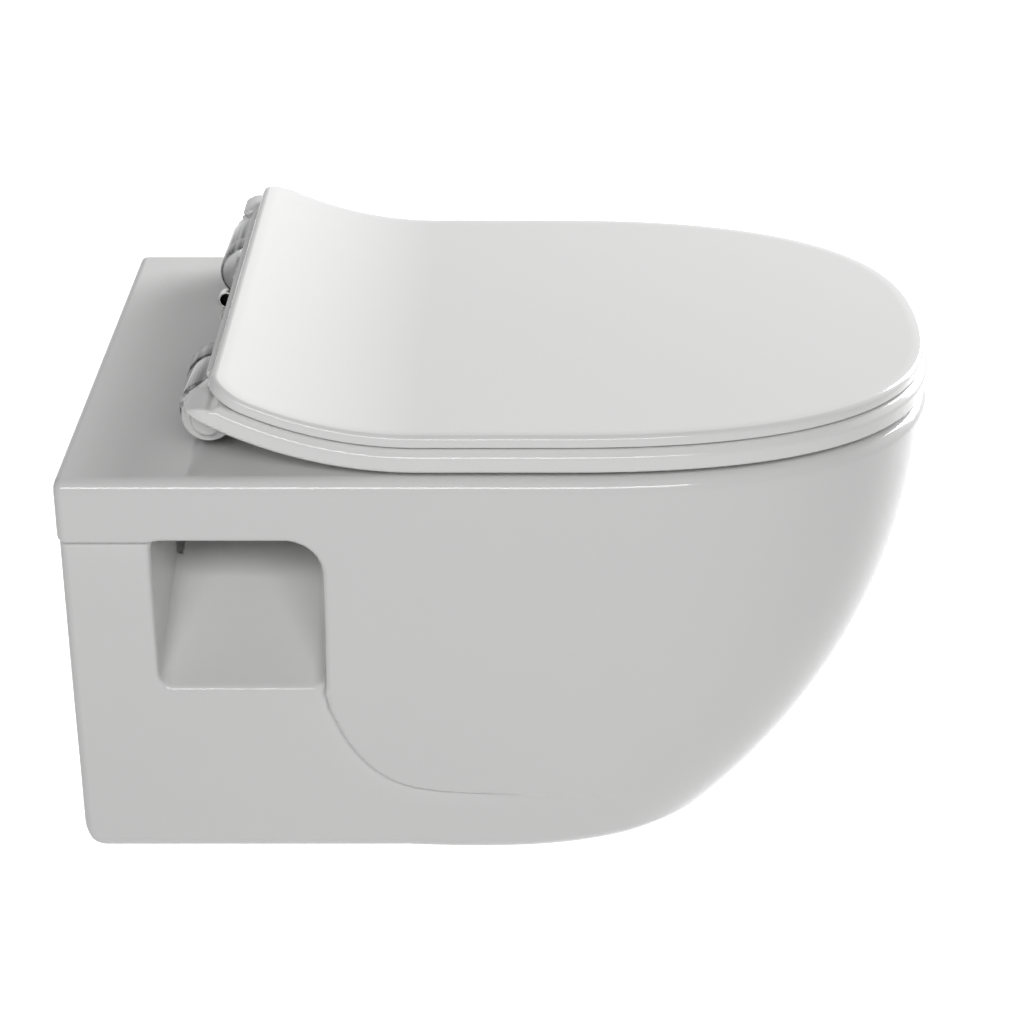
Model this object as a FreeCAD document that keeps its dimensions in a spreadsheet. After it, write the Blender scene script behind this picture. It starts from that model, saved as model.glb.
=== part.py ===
import FreeCAD, Part
import Sketcher
import math
import os
import sys

# Wall hung toilet: a ceramic pan, and a slim seat and lid on two lift-off damped hinges.
# +Z is up, the wall is the plane Y = 0 and the toilet stands out from it towards -Y.
# The origin lies on the wall, midway between the two fixing holes.
# Outlines are worked out as (reach from the wall, half-width, height above the deck).

os.makedirs("parts", exist_ok=True)
doc = FreeCAD.newDocument("wall_hung_toilet")
sheet = doc.addObject("Spreadsheet::Sheet", "sizes")

SIZES = [
    # the ceramic pan
    ("pan_width", 370),
    ("pan_reach", 502),
    ("pan_height", 249.5),
    ("deck_above_fixings", 80),
    ("slab_thickness", 38),
    ("skirt_inset", 6),
    ("side_draft", 4),
    ("front_arc_radius", 314),
    ("front_depth", 228),
    ("front_fullness", 2.5),
    ("front_fullness_gain", 0.7),
    ("deck_edge_round", 8),
    ("base_edge_round", 14),
    # the niches that give access to the fixings
    ("niche_start", 50),
    ("niche_end", 145),
    ("niche_inner_wall", 58),
    ("niche_inner_depth", 71),
    ("niche_lip_depth", 134),
    ("niche_corner_round", 20),
    # the plumbing
    ("fixing_spacing", 180),
    ("fixing_hole_radius", 9.5),
    ("inlet_radius", 27.5),
    ("inlet_below_deck", 45),
    ("inlet_length", 50),
    ("flush_channel_radius", 14),
    ("outlet_below_deck", 180),
    ("outlet_radius", 51),
    ("outlet_bore_radius", 42),
    ("outlet_length", 45),
    ("outlet_setback", 2),
    ("recess_half_width", 64),
    ("trap_radius", 26),
    # the seat and lid
    ("seat_reach", 501),
    ("seat_half_width", 184),
    ("lid_reach", 498),
    ("lid_half_width", 182),
    ("lid_rear", 88),
    ("rear_corner_round", 20),
    ("kick_start", 200),
    ("kick_radius", 225),
    ("lid_top", 25.5),
    ("lid_thickness", 7),
    ("lid_gap", 1.5),
    ("lid_rim_round", 2.5),
    ("lid_under_round", 1),
    ("seat_underside", 4.5),
    ("seat_opening_half_width", 113),
    ("seat_opening_start", 166),
    ("seat_opening_end", 446),
    # the hinges
    ("hinge_reach", 83),
    ("hinge_height", 24),
    ("barrel_radius", 17),
    ("cup_radius", 17.4),
    ("cup_start", 80),
    ("barrel_start", 99.5),
    ("barrel_end", 140),
    ("barrel_bore", 10),
    ("lug_start", 140.5),
    ("lug_end", 151.2),
    ("lug_radius", 14.5),
    ("knuckle_start", 151.7),
    ("knuckle_end", 158),
    ("knuckle_radius", 8.5),
    ("ear_radius", 18.5),
    ("shaft_radius", 4),
    ("shaft_end", 156.5),
    ("bush_radius", 6),
    ("running_gap", 0.05),
    ("post_offset", 88.5),
    ("post_radius", 4.5),
    ("post_neck_radius", 3),
    ("post_top", 15),
    ("bolt_offset", 77.5),
    ("bolt_radius", 3),
    ("bolt_head_radius", 5.8),
    ("bolt_head_length", 2.8),
    ("bolt_hole_radius", 7),
    ("bolt_end", 66),
    ("socket_radius", 2),
    ("socket_depth", 2),
    ("thread_gap", 0.2),
    ("plate_radius", 11),
    ("plate_thickness", 4),
    ("eye_reach", 68.8),
    ("eye_height", 6),
    ("eye_radius", 5.2),
    ("eye_bore", 4),
    ("eye_start", 79.5),
    ("eye_length", 7.5),
    ("gasket_thickness", 1.5),
    ("washer_flange", 3),
    ("washer_length", 10),
    ("nut_length", 14),
    ("nut_hub_radius", 7),
    ("wing_span", 28),
    ("wing_thickness", 4),
    ("boss_length", 12),
    ("lift_gap", 0.3),
    ("foot_tail", 11),
    ("case_offset", 13),
    ("rod_offset", 26),
    ("flat_depth", 0.8),
    ("button_radius", 6),
    ("button_length", 13),
    ("button_proud", 1),
    ("spring_length", 10),
    ("spring_radius", 2.7),
    ("spring_wire_radius", 0.35),
    ("spring_turns", 6),
    ("buffer_radius", 7),
    ("buffer_gap", 0.3),
]
for row, (word, value) in enumerate(SIZES, start=1):
    sheet.set(f"A{row}", word)
    sheet.set(f"B{row}", str(value))
    sheet.setAlias(f"B{row}", word)
doc.recompute()

size = {word: float(sheet.get(word)) for word, _ in SIZES}
DECK = size["deck_above_fixings"]
SIDES = (("left", -1), ("right", 1))


# ---- helpers -------------------------------------------------------------------------------------

def at(reach, across, height):
    """A point from its reach out of the wall, its place across, and its height above the deck."""
    return FreeCAD.Vector(across, -reach, DECK + height)


def superellipse(centre, depth, half_width, fullness, steps):
    """(reach, half-width) points from the widest place to the tip."""
    points = []
    for i in range(steps + 1):
        angle = math.pi / 2 * i / steps
        reach = centre + depth * math.sin(angle) ** (2 / fullness)
        across = half_width * max(math.cos(angle), 0.0) ** (2 / fullness)
        points.append((reach, across))
    return points


def curve(points, parameters=None):
    """One smooth edge through the points."""
    line = Part.BSplineCurve()
    if parameters is None:
        line.interpolate(Points=points)
    else:
        line.interpolate(Points=points, Parameters=parameters)
    return line.toShape()


def chord_parameters(points):
    """Running length along the points, from 0 to 1, so that every section is divided alike."""
    runs = [(b - a).Length for a, b in zip(points, points[1:])]
    total = sum(runs)
    return [sum(runs[:i]) / total for i in range(len(points))]


def feature(name, shape):
    """A worked-out shape as an object of the document."""
    made = doc.addObject("Part::Feature", name)
    made.Shape = shape
    return made


TURNS = {
    "Z": FreeCAD.Rotation(),
    "X": FreeCAD.Rotation(FreeCAD.Vector(0, 1, 0), 90),
    "-X": FreeCAD.Rotation(FreeCAD.Vector(0, 1, 0), -90),
    "-Y": FreeCAD.Rotation(FreeCAD.Vector(1, 0, 0), 90),
    "-Z": FreeCAD.Rotation(FreeCAD.Vector(1, 0, 0), 180),
}


def cylinder(name, radius, length, place, along="Z"):
    """A cylinder whose radius, length and place (x, y, z) are expressions on the sheet."""
    made = doc.addObject("Part::Cylinder", name)
    made.Placement = FreeCAD.Placement(FreeCAD.Vector(), TURNS[along])
    made.setExpression("Radius", radius)
    made.setExpression("Height", length)
    for axis, value in zip("xyz", place):
        made.setExpression(f"Placement.Base.{axis}", value)
    return made


def box(name, low, sides):
    """A box whose low corner and three sides are expressions on the sheet."""
    made = doc.addObject("Part::Box", name)
    for axis, value in zip("xyz", low):
        made.setExpression(f"Placement.Base.{axis}", value)
    for key, value in zip(("Length", "Width", "Height"), sides):
        made.setExpression(key, value)
    return made


def fuse(name, *pieces):
    made = doc.addObject("Part::MultiFuse", name)
    made.Shapes = list(pieces)
    made.Refine = True
    return made


def cut(name, base, tool):
    made = doc.addObject("Part::Cut", name)
    made.Base = base
    made.Tool = tool
    made.Refine = True
    return made


nodes = {}


def node(name, made):
    """Names the object that is exported as this piece."""
    made.Label = name
    nodes[name] = made
    return made


# ---- pan: one glazed casting, solid here where the real one is cast hollow -----------------------

WALL_TRIM = 0.5


def pan_section(depth, inset=0.0, outset=0.0):
    """The pan's outline at one depth. The inset narrows the sides and turns to an outset in front."""
    share = depth / size["pan_height"]
    arc = size["front_arc_radius"]
    tip = size["pan_reach"] - arc + math.sqrt(arc ** 2 - depth ** 2)
    half = size["pan_width"] / 2 - size["side_draft"] * share ** 2
    fullness = size["front_fullness"] + size["front_fullness_gain"] * share ** 2
    centre = tip - size["front_depth"]
    outline = [(-WALL_TRIM, half), (centre / 3, half), (2 * centre / 3, half)]
    outline += superellipse(centre, size["front_depth"], half, fullness, 10)
    fade_start, fade_end = 190.0, 410.0
    moved = []
    for reach, across in outline:
        fade = min(max((reach - fade_start) / (fade_end - fade_start), 0.0), 1.0)
        shift = inset - (inset + outset) * fade
        moved.append((reach + outset * fade, max(across - shift, 0.0) if across > 0 else 0.0))
    side = [at(reach, across, -depth) for reach, across in moved]
    return side + [FreeCAD.Vector(-p.x, p.y, p.z) for p in reversed(side[:-1])]


def pan_skin(depths, inset=0.0, outset=0.0):
    """A smooth solid through the pan's outlines at these depths."""
    parameters = chord_parameters(pan_section(depths[0], inset, outset))
    wires = []
    for depth in depths:
        points = pan_section(depth, inset, outset)
        back = Part.makeLine(points[-1], points[0])
        wires.append(Part.Wire([curve(points, parameters), back]))
    return Part.makeLoft(wires, True)


def edges_at_height(shape, height, skip_wall=True):
    """The edges that lie flat at this height above the deck, without the one on the wall."""
    found = []
    for edge in shape.Edges:
        low, high = edge.BoundBox.ZMin, edge.BoundBox.ZMax
        level = abs(low - DECK - height) < 0.01 and abs(high - DECK - height) < 0.01
        on_wall = edge.BoundBox.YMin > -0.01
        if level and not (skip_wall and on_wall):
            found.append(edge)
    return found


PAN_DEPTHS = [0, 45, 90, 135, 180, 215, size["pan_height"]]
pan_outer = pan_skin(PAN_DEPTHS)
pan_outer = pan_outer.makeFillet(size["deck_edge_round"], edges_at_height(pan_outer, 0))
pan_outer = pan_outer.makeFillet(size["base_edge_round"], edges_at_height(pan_outer, -size["pan_height"]))

# The outlines start behind the wall, and the back is trimmed flat at it.
behind_wall = Part.makeBox(size["pan_width"] + 20, 2 * WALL_TRIM, size["pan_height"] + 20)
behind_wall.translate(at(0, -size["pan_width"] / 2 - 10, -size["pan_height"] - 10))
outer = feature("pan_outer", pan_outer.cut(behind_wall))

# The skirt stands back from the bowl form, below a line that runs under the slab, down the niche's
# front edge and forwards under the bowl, where it fades out.
SKIRT_DEPTHS = [0, 60, 120, 180, 230, 262]
SKIRT_FRONT_OUTSET = 4.0
BULGE_LINE = [(145, -134), (149, -149), (163, -175), (186, -194), (222, -201), (290, -204), (400, -214)]
skirt_inner = pan_skin(SKIRT_DEPTHS, size["skirt_inset"], SKIRT_FRONT_OUTSET)
slab_line = -size["slab_thickness"]
niche_front = size["niche_end"]
corner = size["niche_corner_round"]
beyond = size["pan_width"] / 2 + 20
below = -size["pan_height"] - 15


def side_profile(points):
    """The points of a side view, as places at the far left of the pan."""
    return [at(reach, -beyond, height) for reach, height in points]


corner_mid = corner * (1 - math.sqrt(0.5))
p = side_profile([
    (-5, slab_line), (niche_front - corner, slab_line),
    (niche_front - corner_mid, slab_line - corner_mid), (niche_front, slab_line - corner),
    (BULGE_LINE[-1][0], below), (-5, below),
])
bulge_line = side_profile(BULGE_LINE)
region_wire = Part.Wire([
    Part.makeLine(p[0], p[1]),
    Part.Arc(p[1], p[2], p[3]).toShape(),
    Part.makeLine(p[3], bulge_line[0]),
    curve(bulge_line),
    Part.makeLine(bulge_line[-1], p[4]),
    Part.makeLine(p[4], p[5]),
    Part.makeLine(p[5], p[0]),
])
region = Part.Face(region_wire).extrude(FreeCAD.Vector(2 * beyond, 0, 0))
skirt_step = feature("skirt_step", region.cut(skirt_inner))


def niche_shape(side):
    """The wedge-shaped niche: a flat roof, an upright inner wall and a floor that falls outwards."""
    inner, lip = size["niche_inner_wall"], size["pan_width"] / 2 - size["skirt_inset"]
    slope = (size["niche_lip_depth"] - size["niche_inner_depth"]) / (lip - inner)
    outline = [
        (inner, slab_line), (beyond, slab_line),
        (beyond, -size["niche_lip_depth"] - slope * (beyond - lip)), (inner, -size["niche_inner_depth"]),
    ]
    points = [at(size["niche_start"], side * across, height) for across, height in outline]
    face = Part.Face(Part.makePolygon(points + points[:1]))
    wedge = face.extrude(FreeCAD.Vector(0, size["niche_start"] - size["niche_end"], 0))
    front, roof = -size["niche_end"], DECK + slab_line
    upper_front_edge = []
    for edge in wedge.Edges:
        bounds = edge.BoundBox
        in_front = abs(bounds.YMin - front) < 0.01 and bounds.YLength < 0.01
        if in_front and abs(bounds.ZMin - roof) < 0.01 and bounds.ZLength < 0.01:
            upper_front_edge.append(edge)
    return wedge.makeFillet(size["niche_corner_round"], upper_front_edge)


niches = [feature(f"niche_{word}", niche_shape(side)) for word, side in SIDES]

# The bowl: (height above the deck, centre's reach, half-length, half-width), from the rim down.
BOWL = [
    (3, 314, 160, 151),
    (-35, 313, 157, 148),
    (-80, 305, 140, 131),
    (-125, 292, 113, 104),
    (-165, 272, 80, 70),
    (-195, 253, 52, 45),
    (-213, 245, 32, 29),
]


def oval(height, centre, depth, half_width, fullness=2.25, steps=24):
    """A closed smooth oval, level, about a centre line."""
    points = []
    for i in range(steps):
        along, beside = math.cos(math.tau * i / steps), math.sin(math.tau * i / steps)
        reach = math.copysign(abs(along) ** (2 / fullness), along)
        across = math.copysign(abs(beside) ** (2 / fullness), beside)
        points.append(at(centre + depth * reach, half_width * across, height))
    line = Part.BSplineCurve()
    line.interpolate(Points=points, PeriodicFlag=True)
    return Part.Wire([line.toShape()])


bowl = feature("bowl_hollow", Part.makeLoft([oval(*section) for section in BOWL], True))


def rounded_route(points, radii):
    """A wire of straight runs joined by arcs that touch them."""
    edges, start = [], points[0]
    for before, here, after, radius in zip(points, points[1:], points[2:], radii):
        back = (before - here).normalize()
        ahead = (after - here).normalize()
        half_angle = back.getAngle(ahead) / 2
        run = radius / math.tan(half_angle)
        into, out = here + back * run, here + ahead * run
        middle_way = (back + ahead).normalize()
        middle = here + middle_way * (radius / math.sin(half_angle) - radius)
        edges.append(Part.makeLine(start, into))
        edges.append(Part.Arc(into, middle, out).toShape())
        start = out
    edges.append(Part.makeLine(start, points[-1]))
    return Part.Wire(edges)


# The trapway leaves the foot of the bowl, climbs over its weir and drops to the outlet.
outlet_level = -size["outlet_below_deck"]
TRAP_POINTS = [(258, -187), (205, -200), (122, -94), (76, -94), (45, outlet_level), (20, outlet_level)]
TRAP_BENDS = [45, 42, 36, 30]
trap_route = rounded_route([at(reach, 0, height) for reach, height in TRAP_POINTS], TRAP_BENDS)
trap_start = trap_route.Edges[0]
trap_ring = Part.Wire([Part.makeCircle(
    size["trap_radius"], trap_start.Vertexes[0].Point, trap_start.tangentAt(trap_start.FirstParameter))])
trap = feature("trapway", trap_route.makePipeShell([trap_ring], True, False))

FLARE_START, FLARE_LENGTH = 34, 22
outlet_flare = feature("outlet_flare", Part.makeCone(
    size["trap_radius"], size["outlet_bore_radius"], FLARE_LENGTH, at(FLARE_START, 0, outlet_level),
    FreeCAD.Vector(0, 1, 0)))
outlet_bore = cylinder("outlet_bore", "sizes.outlet_bore_radius", "20", (
    "0", "1", "sizes.deck_above_fixings - sizes.outlet_below_deck"), "-Y")
outlet_recess = box("outlet_recess", (
    "-sizes.recess_half_width", "-sizes.outlet_length", "sizes.deck_above_fixings - sizes.pan_height - 5"), (
    "2 * sizes.recess_half_width", "sizes.outlet_length + 5",
    "sizes.pan_height - sizes.outlet_below_deck + sizes.recess_half_width + 5"))
spigot = cylinder("outlet_spigot", "sizes.outlet_radius", "sizes.outlet_length + 1 - sizes.outlet_setback", (
    "0", "-sizes.outlet_setback", "sizes.deck_above_fixings - sizes.outlet_below_deck"), "-Y")
recess_round_spigot = cut("recess_round_spigot", outlet_recess, spigot)

inlet = cylinder("flush_inlet", "sizes.inlet_radius", "sizes.inlet_length + 5", (
    "0", "5", "sizes.deck_above_fixings - sizes.inlet_below_deck"), "-Y")
channel_from = at(44, 0, -size["inlet_below_deck"])
channel_to = at(172, 0, -32)
channel = channel_to - channel_from
flush_channel = feature("flush_channel", Part.makeCylinder(
    size["flush_channel_radius"], channel.Length, channel_from, channel))

holes = []
for word, side in SIDES:
    holes.append(cylinder(f"fixing_hole_{word}", "sizes.fixing_hole_radius", "sizes.niche_start + 7", (
        f"{side} * sizes.fixing_spacing / 2", "5", "0"), "-Y"))
    holes.append(cylinder(f"hinge_hole_{word}", "sizes.bolt_hole_radius", "sizes.slab_thickness + 10", (
        f"{side} * sizes.bolt_offset", "-sizes.hinge_reach", "sizes.deck_above_fixings + 5"), "-Z"))

hollows = fuse("pan_hollows", skirt_step, *niches, bowl, trap, outlet_flare, outlet_bore,
               recess_round_spigot, inlet, flush_channel, *holes)
node("pan", cut("pan_body", outer, hollows))


# ---- seat and lid: slim mouldings, kicked up at the rear over the hinges -------------------------

KICK_CENTRE = (size["kick_start"], size["lid_top"] + size["kick_radius"])
HINGE = (size["hinge_reach"], size["hinge_height"])
LID_UNDER = size["kick_radius"] + size["lid_thickness"]
SEAT_TOP = LID_UNDER + size["lid_gap"]
SEAT_UNDER = size["kick_radius"] + size["lid_top"] - size["seat_underside"]


def cover_outline(rear, tip, half_width):
    """The plan of the seat or lid: a full round front, straight sides and rounded rear corners."""
    centre = tip - size["front_depth"]
    corner = size["rear_corner_round"]
    bevel = corner * (1 - math.sqrt(0.5))
    points = [at(reach, across, 0) for reach, across in superellipse(
        centre, size["front_depth"], half_width, size["front_fullness"], 12)]
    points += [FreeCAD.Vector(-q.x, q.y, q.z) for q in reversed(points[:-1])]
    sides = []
    for side in (1, -1):
        sides.append((
            at(centre, side * half_width, 0), at(rear + corner, side * half_width, 0),
            at(rear + bevel, side * (half_width - bevel), 0), at(rear, side * (half_width - corner), 0),
        ))
    right, left = sides
    front = Part.BSplineCurve()
    outwards = FreeCAD.Vector(0, -1, 0)
    front.interpolate(Points=points, InitialTangent=outwards, FinalTangent=-outwards)
    return Part.Wire([
        front.toShape(),
        Part.makeLine(left[0], left[1]),
        Part.Arc(left[1], left[2], left[3]).toShape(),
        Part.makeLine(left[3], right[3]),
        Part.Arc(right[3], right[2], right[1]).toShape(),
        Part.makeLine(right[1], right[0]),
    ])


def upright(wire, low=-2, high=80):
    """A prism that stands on the deck, from a plan outline drawn at deck height."""
    face = Part.Face(wire)
    face.translate(FreeCAD.Vector(0, 0, low))
    return face.extrude(FreeCAD.Vector(0, 0, high - low))


def across(points_and_arcs, start, end):
    """A prism across the pan between two places, from a closed side view of edges."""
    face = Part.Face(Part.Wire(points_and_arcs))
    face.translate(FreeCAD.Vector(start, 0, 0))
    return face.extrude(FreeCAD.Vector(end - start, 0, 0))


def arc_about(centre, radius, first, last):
    """A side-view arc between two angles in degrees, 0 towards the front and 90 upwards."""
    ends = []
    for angle in (first, (first + last) / 2, last):
        turn = math.radians(angle)
        ends.append(at(centre[0] + radius * math.cos(turn), 0, centre[1] + radius * math.sin(turn)))
    return Part.Arc(*ends).toShape()


def side_loop(*items):
    """Closes a side view: points are joined by lines, and edges are used as they are."""
    edges, last = [], None
    first = None
    for item in items:
        start = item if isinstance(item, FreeCAD.Vector) else item.Vertexes[0].Point
        end = item if isinstance(item, FreeCAD.Vector) else item.Vertexes[-1].Point
        if last is not None and (start - last).Length > 1e-6:
            edges.append(Part.makeLine(last, start))
        if not isinstance(item, FreeCAD.Vector):
            edges.append(item)
        first = first or start
        last = end
    if (last - first).Length > 1e-6:
        edges.append(Part.makeLine(last, first))
    return edges


def kick_arc(radius, reach, forwards=True):
    """The kicked-up arc between this reach and where it runs level."""
    angle = -math.degrees(math.acos((reach - KICK_CENTRE[0]) / radius))
    ends = (angle, -90) if forwards else (-90, angle)
    return arc_about(KICK_CENTRE, radius, *ends)


def round_rim(shape, top_radius, under_radius):
    """Rounds the lid's rim where its upper and lower faces end."""
    upper, lower = [], []
    for edge in shape.Edges:
        middle = edge.valueAt((edge.FirstParameter + edge.LastParameter) / 2)
        run = max(KICK_CENTRE[0] + middle.y, 0)
        from_kick = math.hypot(run, KICK_CENTRE[1] - middle.z + DECK)
        if abs(from_kick - size["kick_radius"]) < 0.05:
            upper.append(edge)
        elif abs(from_kick - LID_UNDER) < 0.05:
            lower.append(edge)
    return shape.makeFillet(top_radius, upper).makeFillet(under_radius, lower)


HINGE_LINE = ("-sizes.hinge_reach", "sizes.deck_above_fixings + sizes.hinge_height")
OUTWARDS = {-1: "-X", 1: "X"}


def on_hinge(name, side, radius, start, end):
    """A cylinder on the hinge line between two distances from the pan's middle."""
    place = (f"{side} * ({start})",) + HINGE_LINE
    return cylinder(name, radius, f"({end}) - ({start})", place, OUTWARDS[side])


past_tip = size["seat_reach"] + 10
plate_half = size["seat_half_width"] + 5
lid_under = size["lid_top"] - size["lid_thickness"]
seat_top = lid_under - size["lid_gap"]

# The lid is a plate with a lug on each side that reaches down to the hinge line.
lid_side = side_loop(
    kick_arc(size["kick_radius"], size["lid_rear"]),
    at(past_tip, 0, size["lid_top"]),
    at(past_tip, 0, lid_under),
    kick_arc(LID_UNDER, size["lid_rear"], forwards=False),
)
lid_plan = cover_outline(size["lid_rear"] - 0.5, size["lid_reach"], size["lid_half_width"])
lid_plate = across(lid_side, -plate_half, plate_half).common(upright(lid_plan))
lid_blank = feature("lid_plate", round_rim(lid_plate, size["lid_rim_round"], size["lid_under_round"]))

LUG_WEB = [(98, 24), (99.5, 44), (90, 49), (71, 33)]
lid_pieces = [lid_blank]
for word, side in SIDES:
    ends = (side * size["lug_start"], side * size["lug_end"])
    web = across(side_loop(*[at(reach, 0, height) for reach, height in LUG_WEB]), *ends)
    lid_pieces.append(feature(f"lid_web_{word}", web))
    lid_pieces.append(on_hinge(
        f"lid_lug_{word}", side, "sizes.lug_radius", "sizes.lug_start", "sizes.lug_end"))
lid_blank_fused = fuse("lid_with_lugs", *lid_pieces)

# The seat is a ring of even thickness under the lid, kicked up with it. Its middle runs back over the
# hinge line as a slim rail, which clears the barrels below it and the turning lid above it, and its
# corners are ears.
RAIL_UNDER, RAIL_TOP, RAIL_END = 17.9, 22.4, 93.0
NOTCH_REACH, EAR_TOP_REACH, EAR_UNDER_REACH = 101.5, 93.0, 80.0
EAR_NOSE = (141, 70)


def kick_meets(radius, kick_radius, side):
    """The angle about the hinge line, in degrees, at which its circle meets a kicked-up face."""
    run, rise = KICK_CENTRE[0] - HINGE[0], KICK_CENTRE[1] - HINGE[1]
    away = math.hypot(run, rise)
    share = (away ** 2 + radius ** 2 - kick_radius ** 2) / (2 * away * radius)
    return math.degrees(math.atan2(rise, run) + side * math.acos(share))


rail_start = kick_meets(RAIL_TOP, SEAT_TOP, 1)
rail_start_reach = HINGE[0] + RAIL_TOP * math.cos(math.radians(rail_start))
rail_foot = kick_meets(RAIL_UNDER, SEAT_UNDER, -1)
rail_foot_reach = HINGE[0] + RAIL_UNDER * math.cos(math.radians(rail_foot))
middle_side = side_loop(
    arc_about(HINGE, RAIL_TOP, RAIL_END, rail_start),
    kick_arc(SEAT_TOP, rail_start_reach),
    at(past_tip, 0, seat_top),
    at(past_tip, 0, size["seat_underside"]),
    kick_arc(SEAT_UNDER, rail_foot_reach, forwards=False),
    arc_about(HINGE, RAIL_UNDER, rail_foot, RAIL_END),
)
notch_side = side_loop(
    kick_arc(SEAT_TOP, NOTCH_REACH),
    at(past_tip, 0, seat_top),
    at(past_tip, 0, size["seat_underside"]),
    kick_arc(SEAT_UNDER, NOTCH_REACH, forwards=False),
)
ear_side = side_loop(
    kick_arc(SEAT_TOP, EAR_TOP_REACH),
    at(past_tip, 0, seat_top),
    at(past_tip, 0, size["seat_underside"]),
    kick_arc(SEAT_UNDER, EAR_UNDER_REACH, forwards=False),
    arc_about(HINGE, size["ear_radius"], *EAR_NOSE),
)
lug_room = (size["lug_start"] - 0.5, size["knuckle_start"])
blank = across(middle_side, -lug_room[0], lug_room[0])
for side in (-1, 1):
    blank = blank.fuse(across(notch_side, side * lug_room[0], side * lug_room[1]))
    blank = blank.fuse(across(ear_side, side * lug_room[1], side * plate_half))
seat_plan = cover_outline(66, size["seat_reach"], size["seat_half_width"])
opening_depth = (size["seat_opening_end"] - size["seat_opening_start"]) / 2
opening_centre = size["seat_opening_start"] + opening_depth
opening = oval(0, opening_centre, opening_depth, size["seat_opening_half_width"])
seat_ring = blank.removeSplitter().common(upright(seat_plan)).cut(upright(opening))
seat_blank = feature("seat_ring", seat_ring)
# Each knuckle hangs from the ear over it by a web as wide as itself.
KNUCKLE_WEB = [(76, 22), (91, 24), (98, 33), (73, 38)]
seat_pieces = [seat_blank]
for word, side in SIDES:
    ends = (side * size["knuckle_start"], side * size["knuckle_end"])
    web = across(side_loop(*[at(reach, 0, height) for reach, height in KNUCKLE_WEB]), *ends)
    seat_pieces.append(feature(f"seat_web_{word}", web))
    seat_pieces.append(on_hinge(
        f"seat_knuckle_{word}", side, "sizes.knuckle_radius", "sizes.knuckle_start", "sizes.knuckle_end"))
seat_fused = fuse("seat_with_knuckles", *seat_pieces)


# ---- hinges --------------------------------------------------------------------------------------

def block(name, side, span, width, heights):
    """A box across the hinge line: its span from the middle, its width, and its heights over the deck."""
    low = min(side * span[0], side * span[1])
    corner = (f"{low}", f"-sizes.hinge_reach - {width / 2}", f"sizes.deck_above_fixings + {heights[0]}")
    return box(name, corner, (f"{span[1] - span[0]}", f"{width}", f"{heights[1] - heights[0]}"))


def value(text):
    """The number that a sum of cell words and plain numbers comes to."""
    total, sign = 0.0, 1
    for token in text.split():
        if token in "+-":
            sign = 1 if token == "+" else -1
        else:
            total += sign * (size[token] if token in size else float(token))
    return total


def bound(text):
    """The same sum as an expression on the sheet."""
    return " ".join("sizes." + token if token in size else token for token in text.split())


def turned(name, profile, place, along="Z"):
    """A turned piece: its profile is a list of (radius, height) sums, with heights from its own end."""
    body = doc.addObject("PartDesign::Body", name)
    sketch = body.newObject("Sketcher::SketchObject", f"{name}_profile")
    plane = next(f for f in body.Origin.OriginFeatures if f.Role == "XZ_Plane")
    sketch.AttachmentSupport = [(plane, "")]
    sketch.MapMode = "FlatFace"
    corners = [FreeCAD.Vector(value(radius), value(height), 0) for radius, height in profile]
    count = len(corners)
    for i in range(count):
        sketch.addGeometry(Part.LineSegment(corners[i], corners[(i + 1) % count]))
    for i in range(count):
        sketch.addConstraint(Sketcher.Constraint("Coincident", i, 2, (i + 1) % count, 1))
    for i, (radius, height) in enumerate(profile):
        for key, text, axis in (("DistanceX", radius, -2), ("DistanceY", height, -1)):
            if value(text) == 0:
                sketch.addConstraint(Sketcher.Constraint("PointOnObject", i, 1, axis))
            else:
                index = sketch.addConstraint(Sketcher.Constraint(key, -1, 1, i, 1, value(text)))
                sketch.setExpression(f"Constraints[{index}]", bound(text))
    turning = body.newObject("PartDesign::Revolution", f"{name}_turning")
    turning.Profile = sketch
    turning.ReferenceAxis = (sketch, ["V_Axis"])
    turning.Angle = 360
    sketch.Visibility = False
    body.Placement = FreeCAD.Placement(FreeCAD.Vector(), TURNS[along])
    for axis, text in zip("xyz", place):
        body.setExpression(f"Placement.Base.{axis}", text)
    return body


DECK_LEVEL = "sizes.deck_above_fixings"
HINGE_Y = "-sizes.hinge_reach"
PLATE_TOP = "sizes.gasket_thickness + sizes.plate_thickness"
BOLT_TOP = "bolt_end + gasket_thickness + plate_thickness"
CUP_LENGTH = "barrel_start - cup_start"
CASE_LENGTH = "barrel_end - barrel_start - case_offset"
ROD_END = "shaft_end - barrel_start - rod_offset"


def rounded_plate(name, side, low, thickness):
    """A level plate with round ends about the bolt and the post, at a height over the deck."""
    radius = "sizes.plate_radius"
    pieces = []
    for offset in ("bolt_offset", "post_offset"):
        pieces.append(cylinder(f"{name}_{offset}", radius, thickness, (
            f"{side} * sizes.{offset}", HINGE_Y, f"{DECK_LEVEL} + {low}")))
    start = f"{side} * sizes.bolt_offset" if side > 0 else "-sizes.post_offset"
    pieces.append(box(f"{name}_middle", (start, f"{HINGE_Y} - {radius}", f"{DECK_LEVEL} + {low}"), (
        "sizes.post_offset - sizes.bolt_offset", f"2 * {radius}", thickness)))
    return fuse(f"{name}_blank", *pieces)


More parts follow.
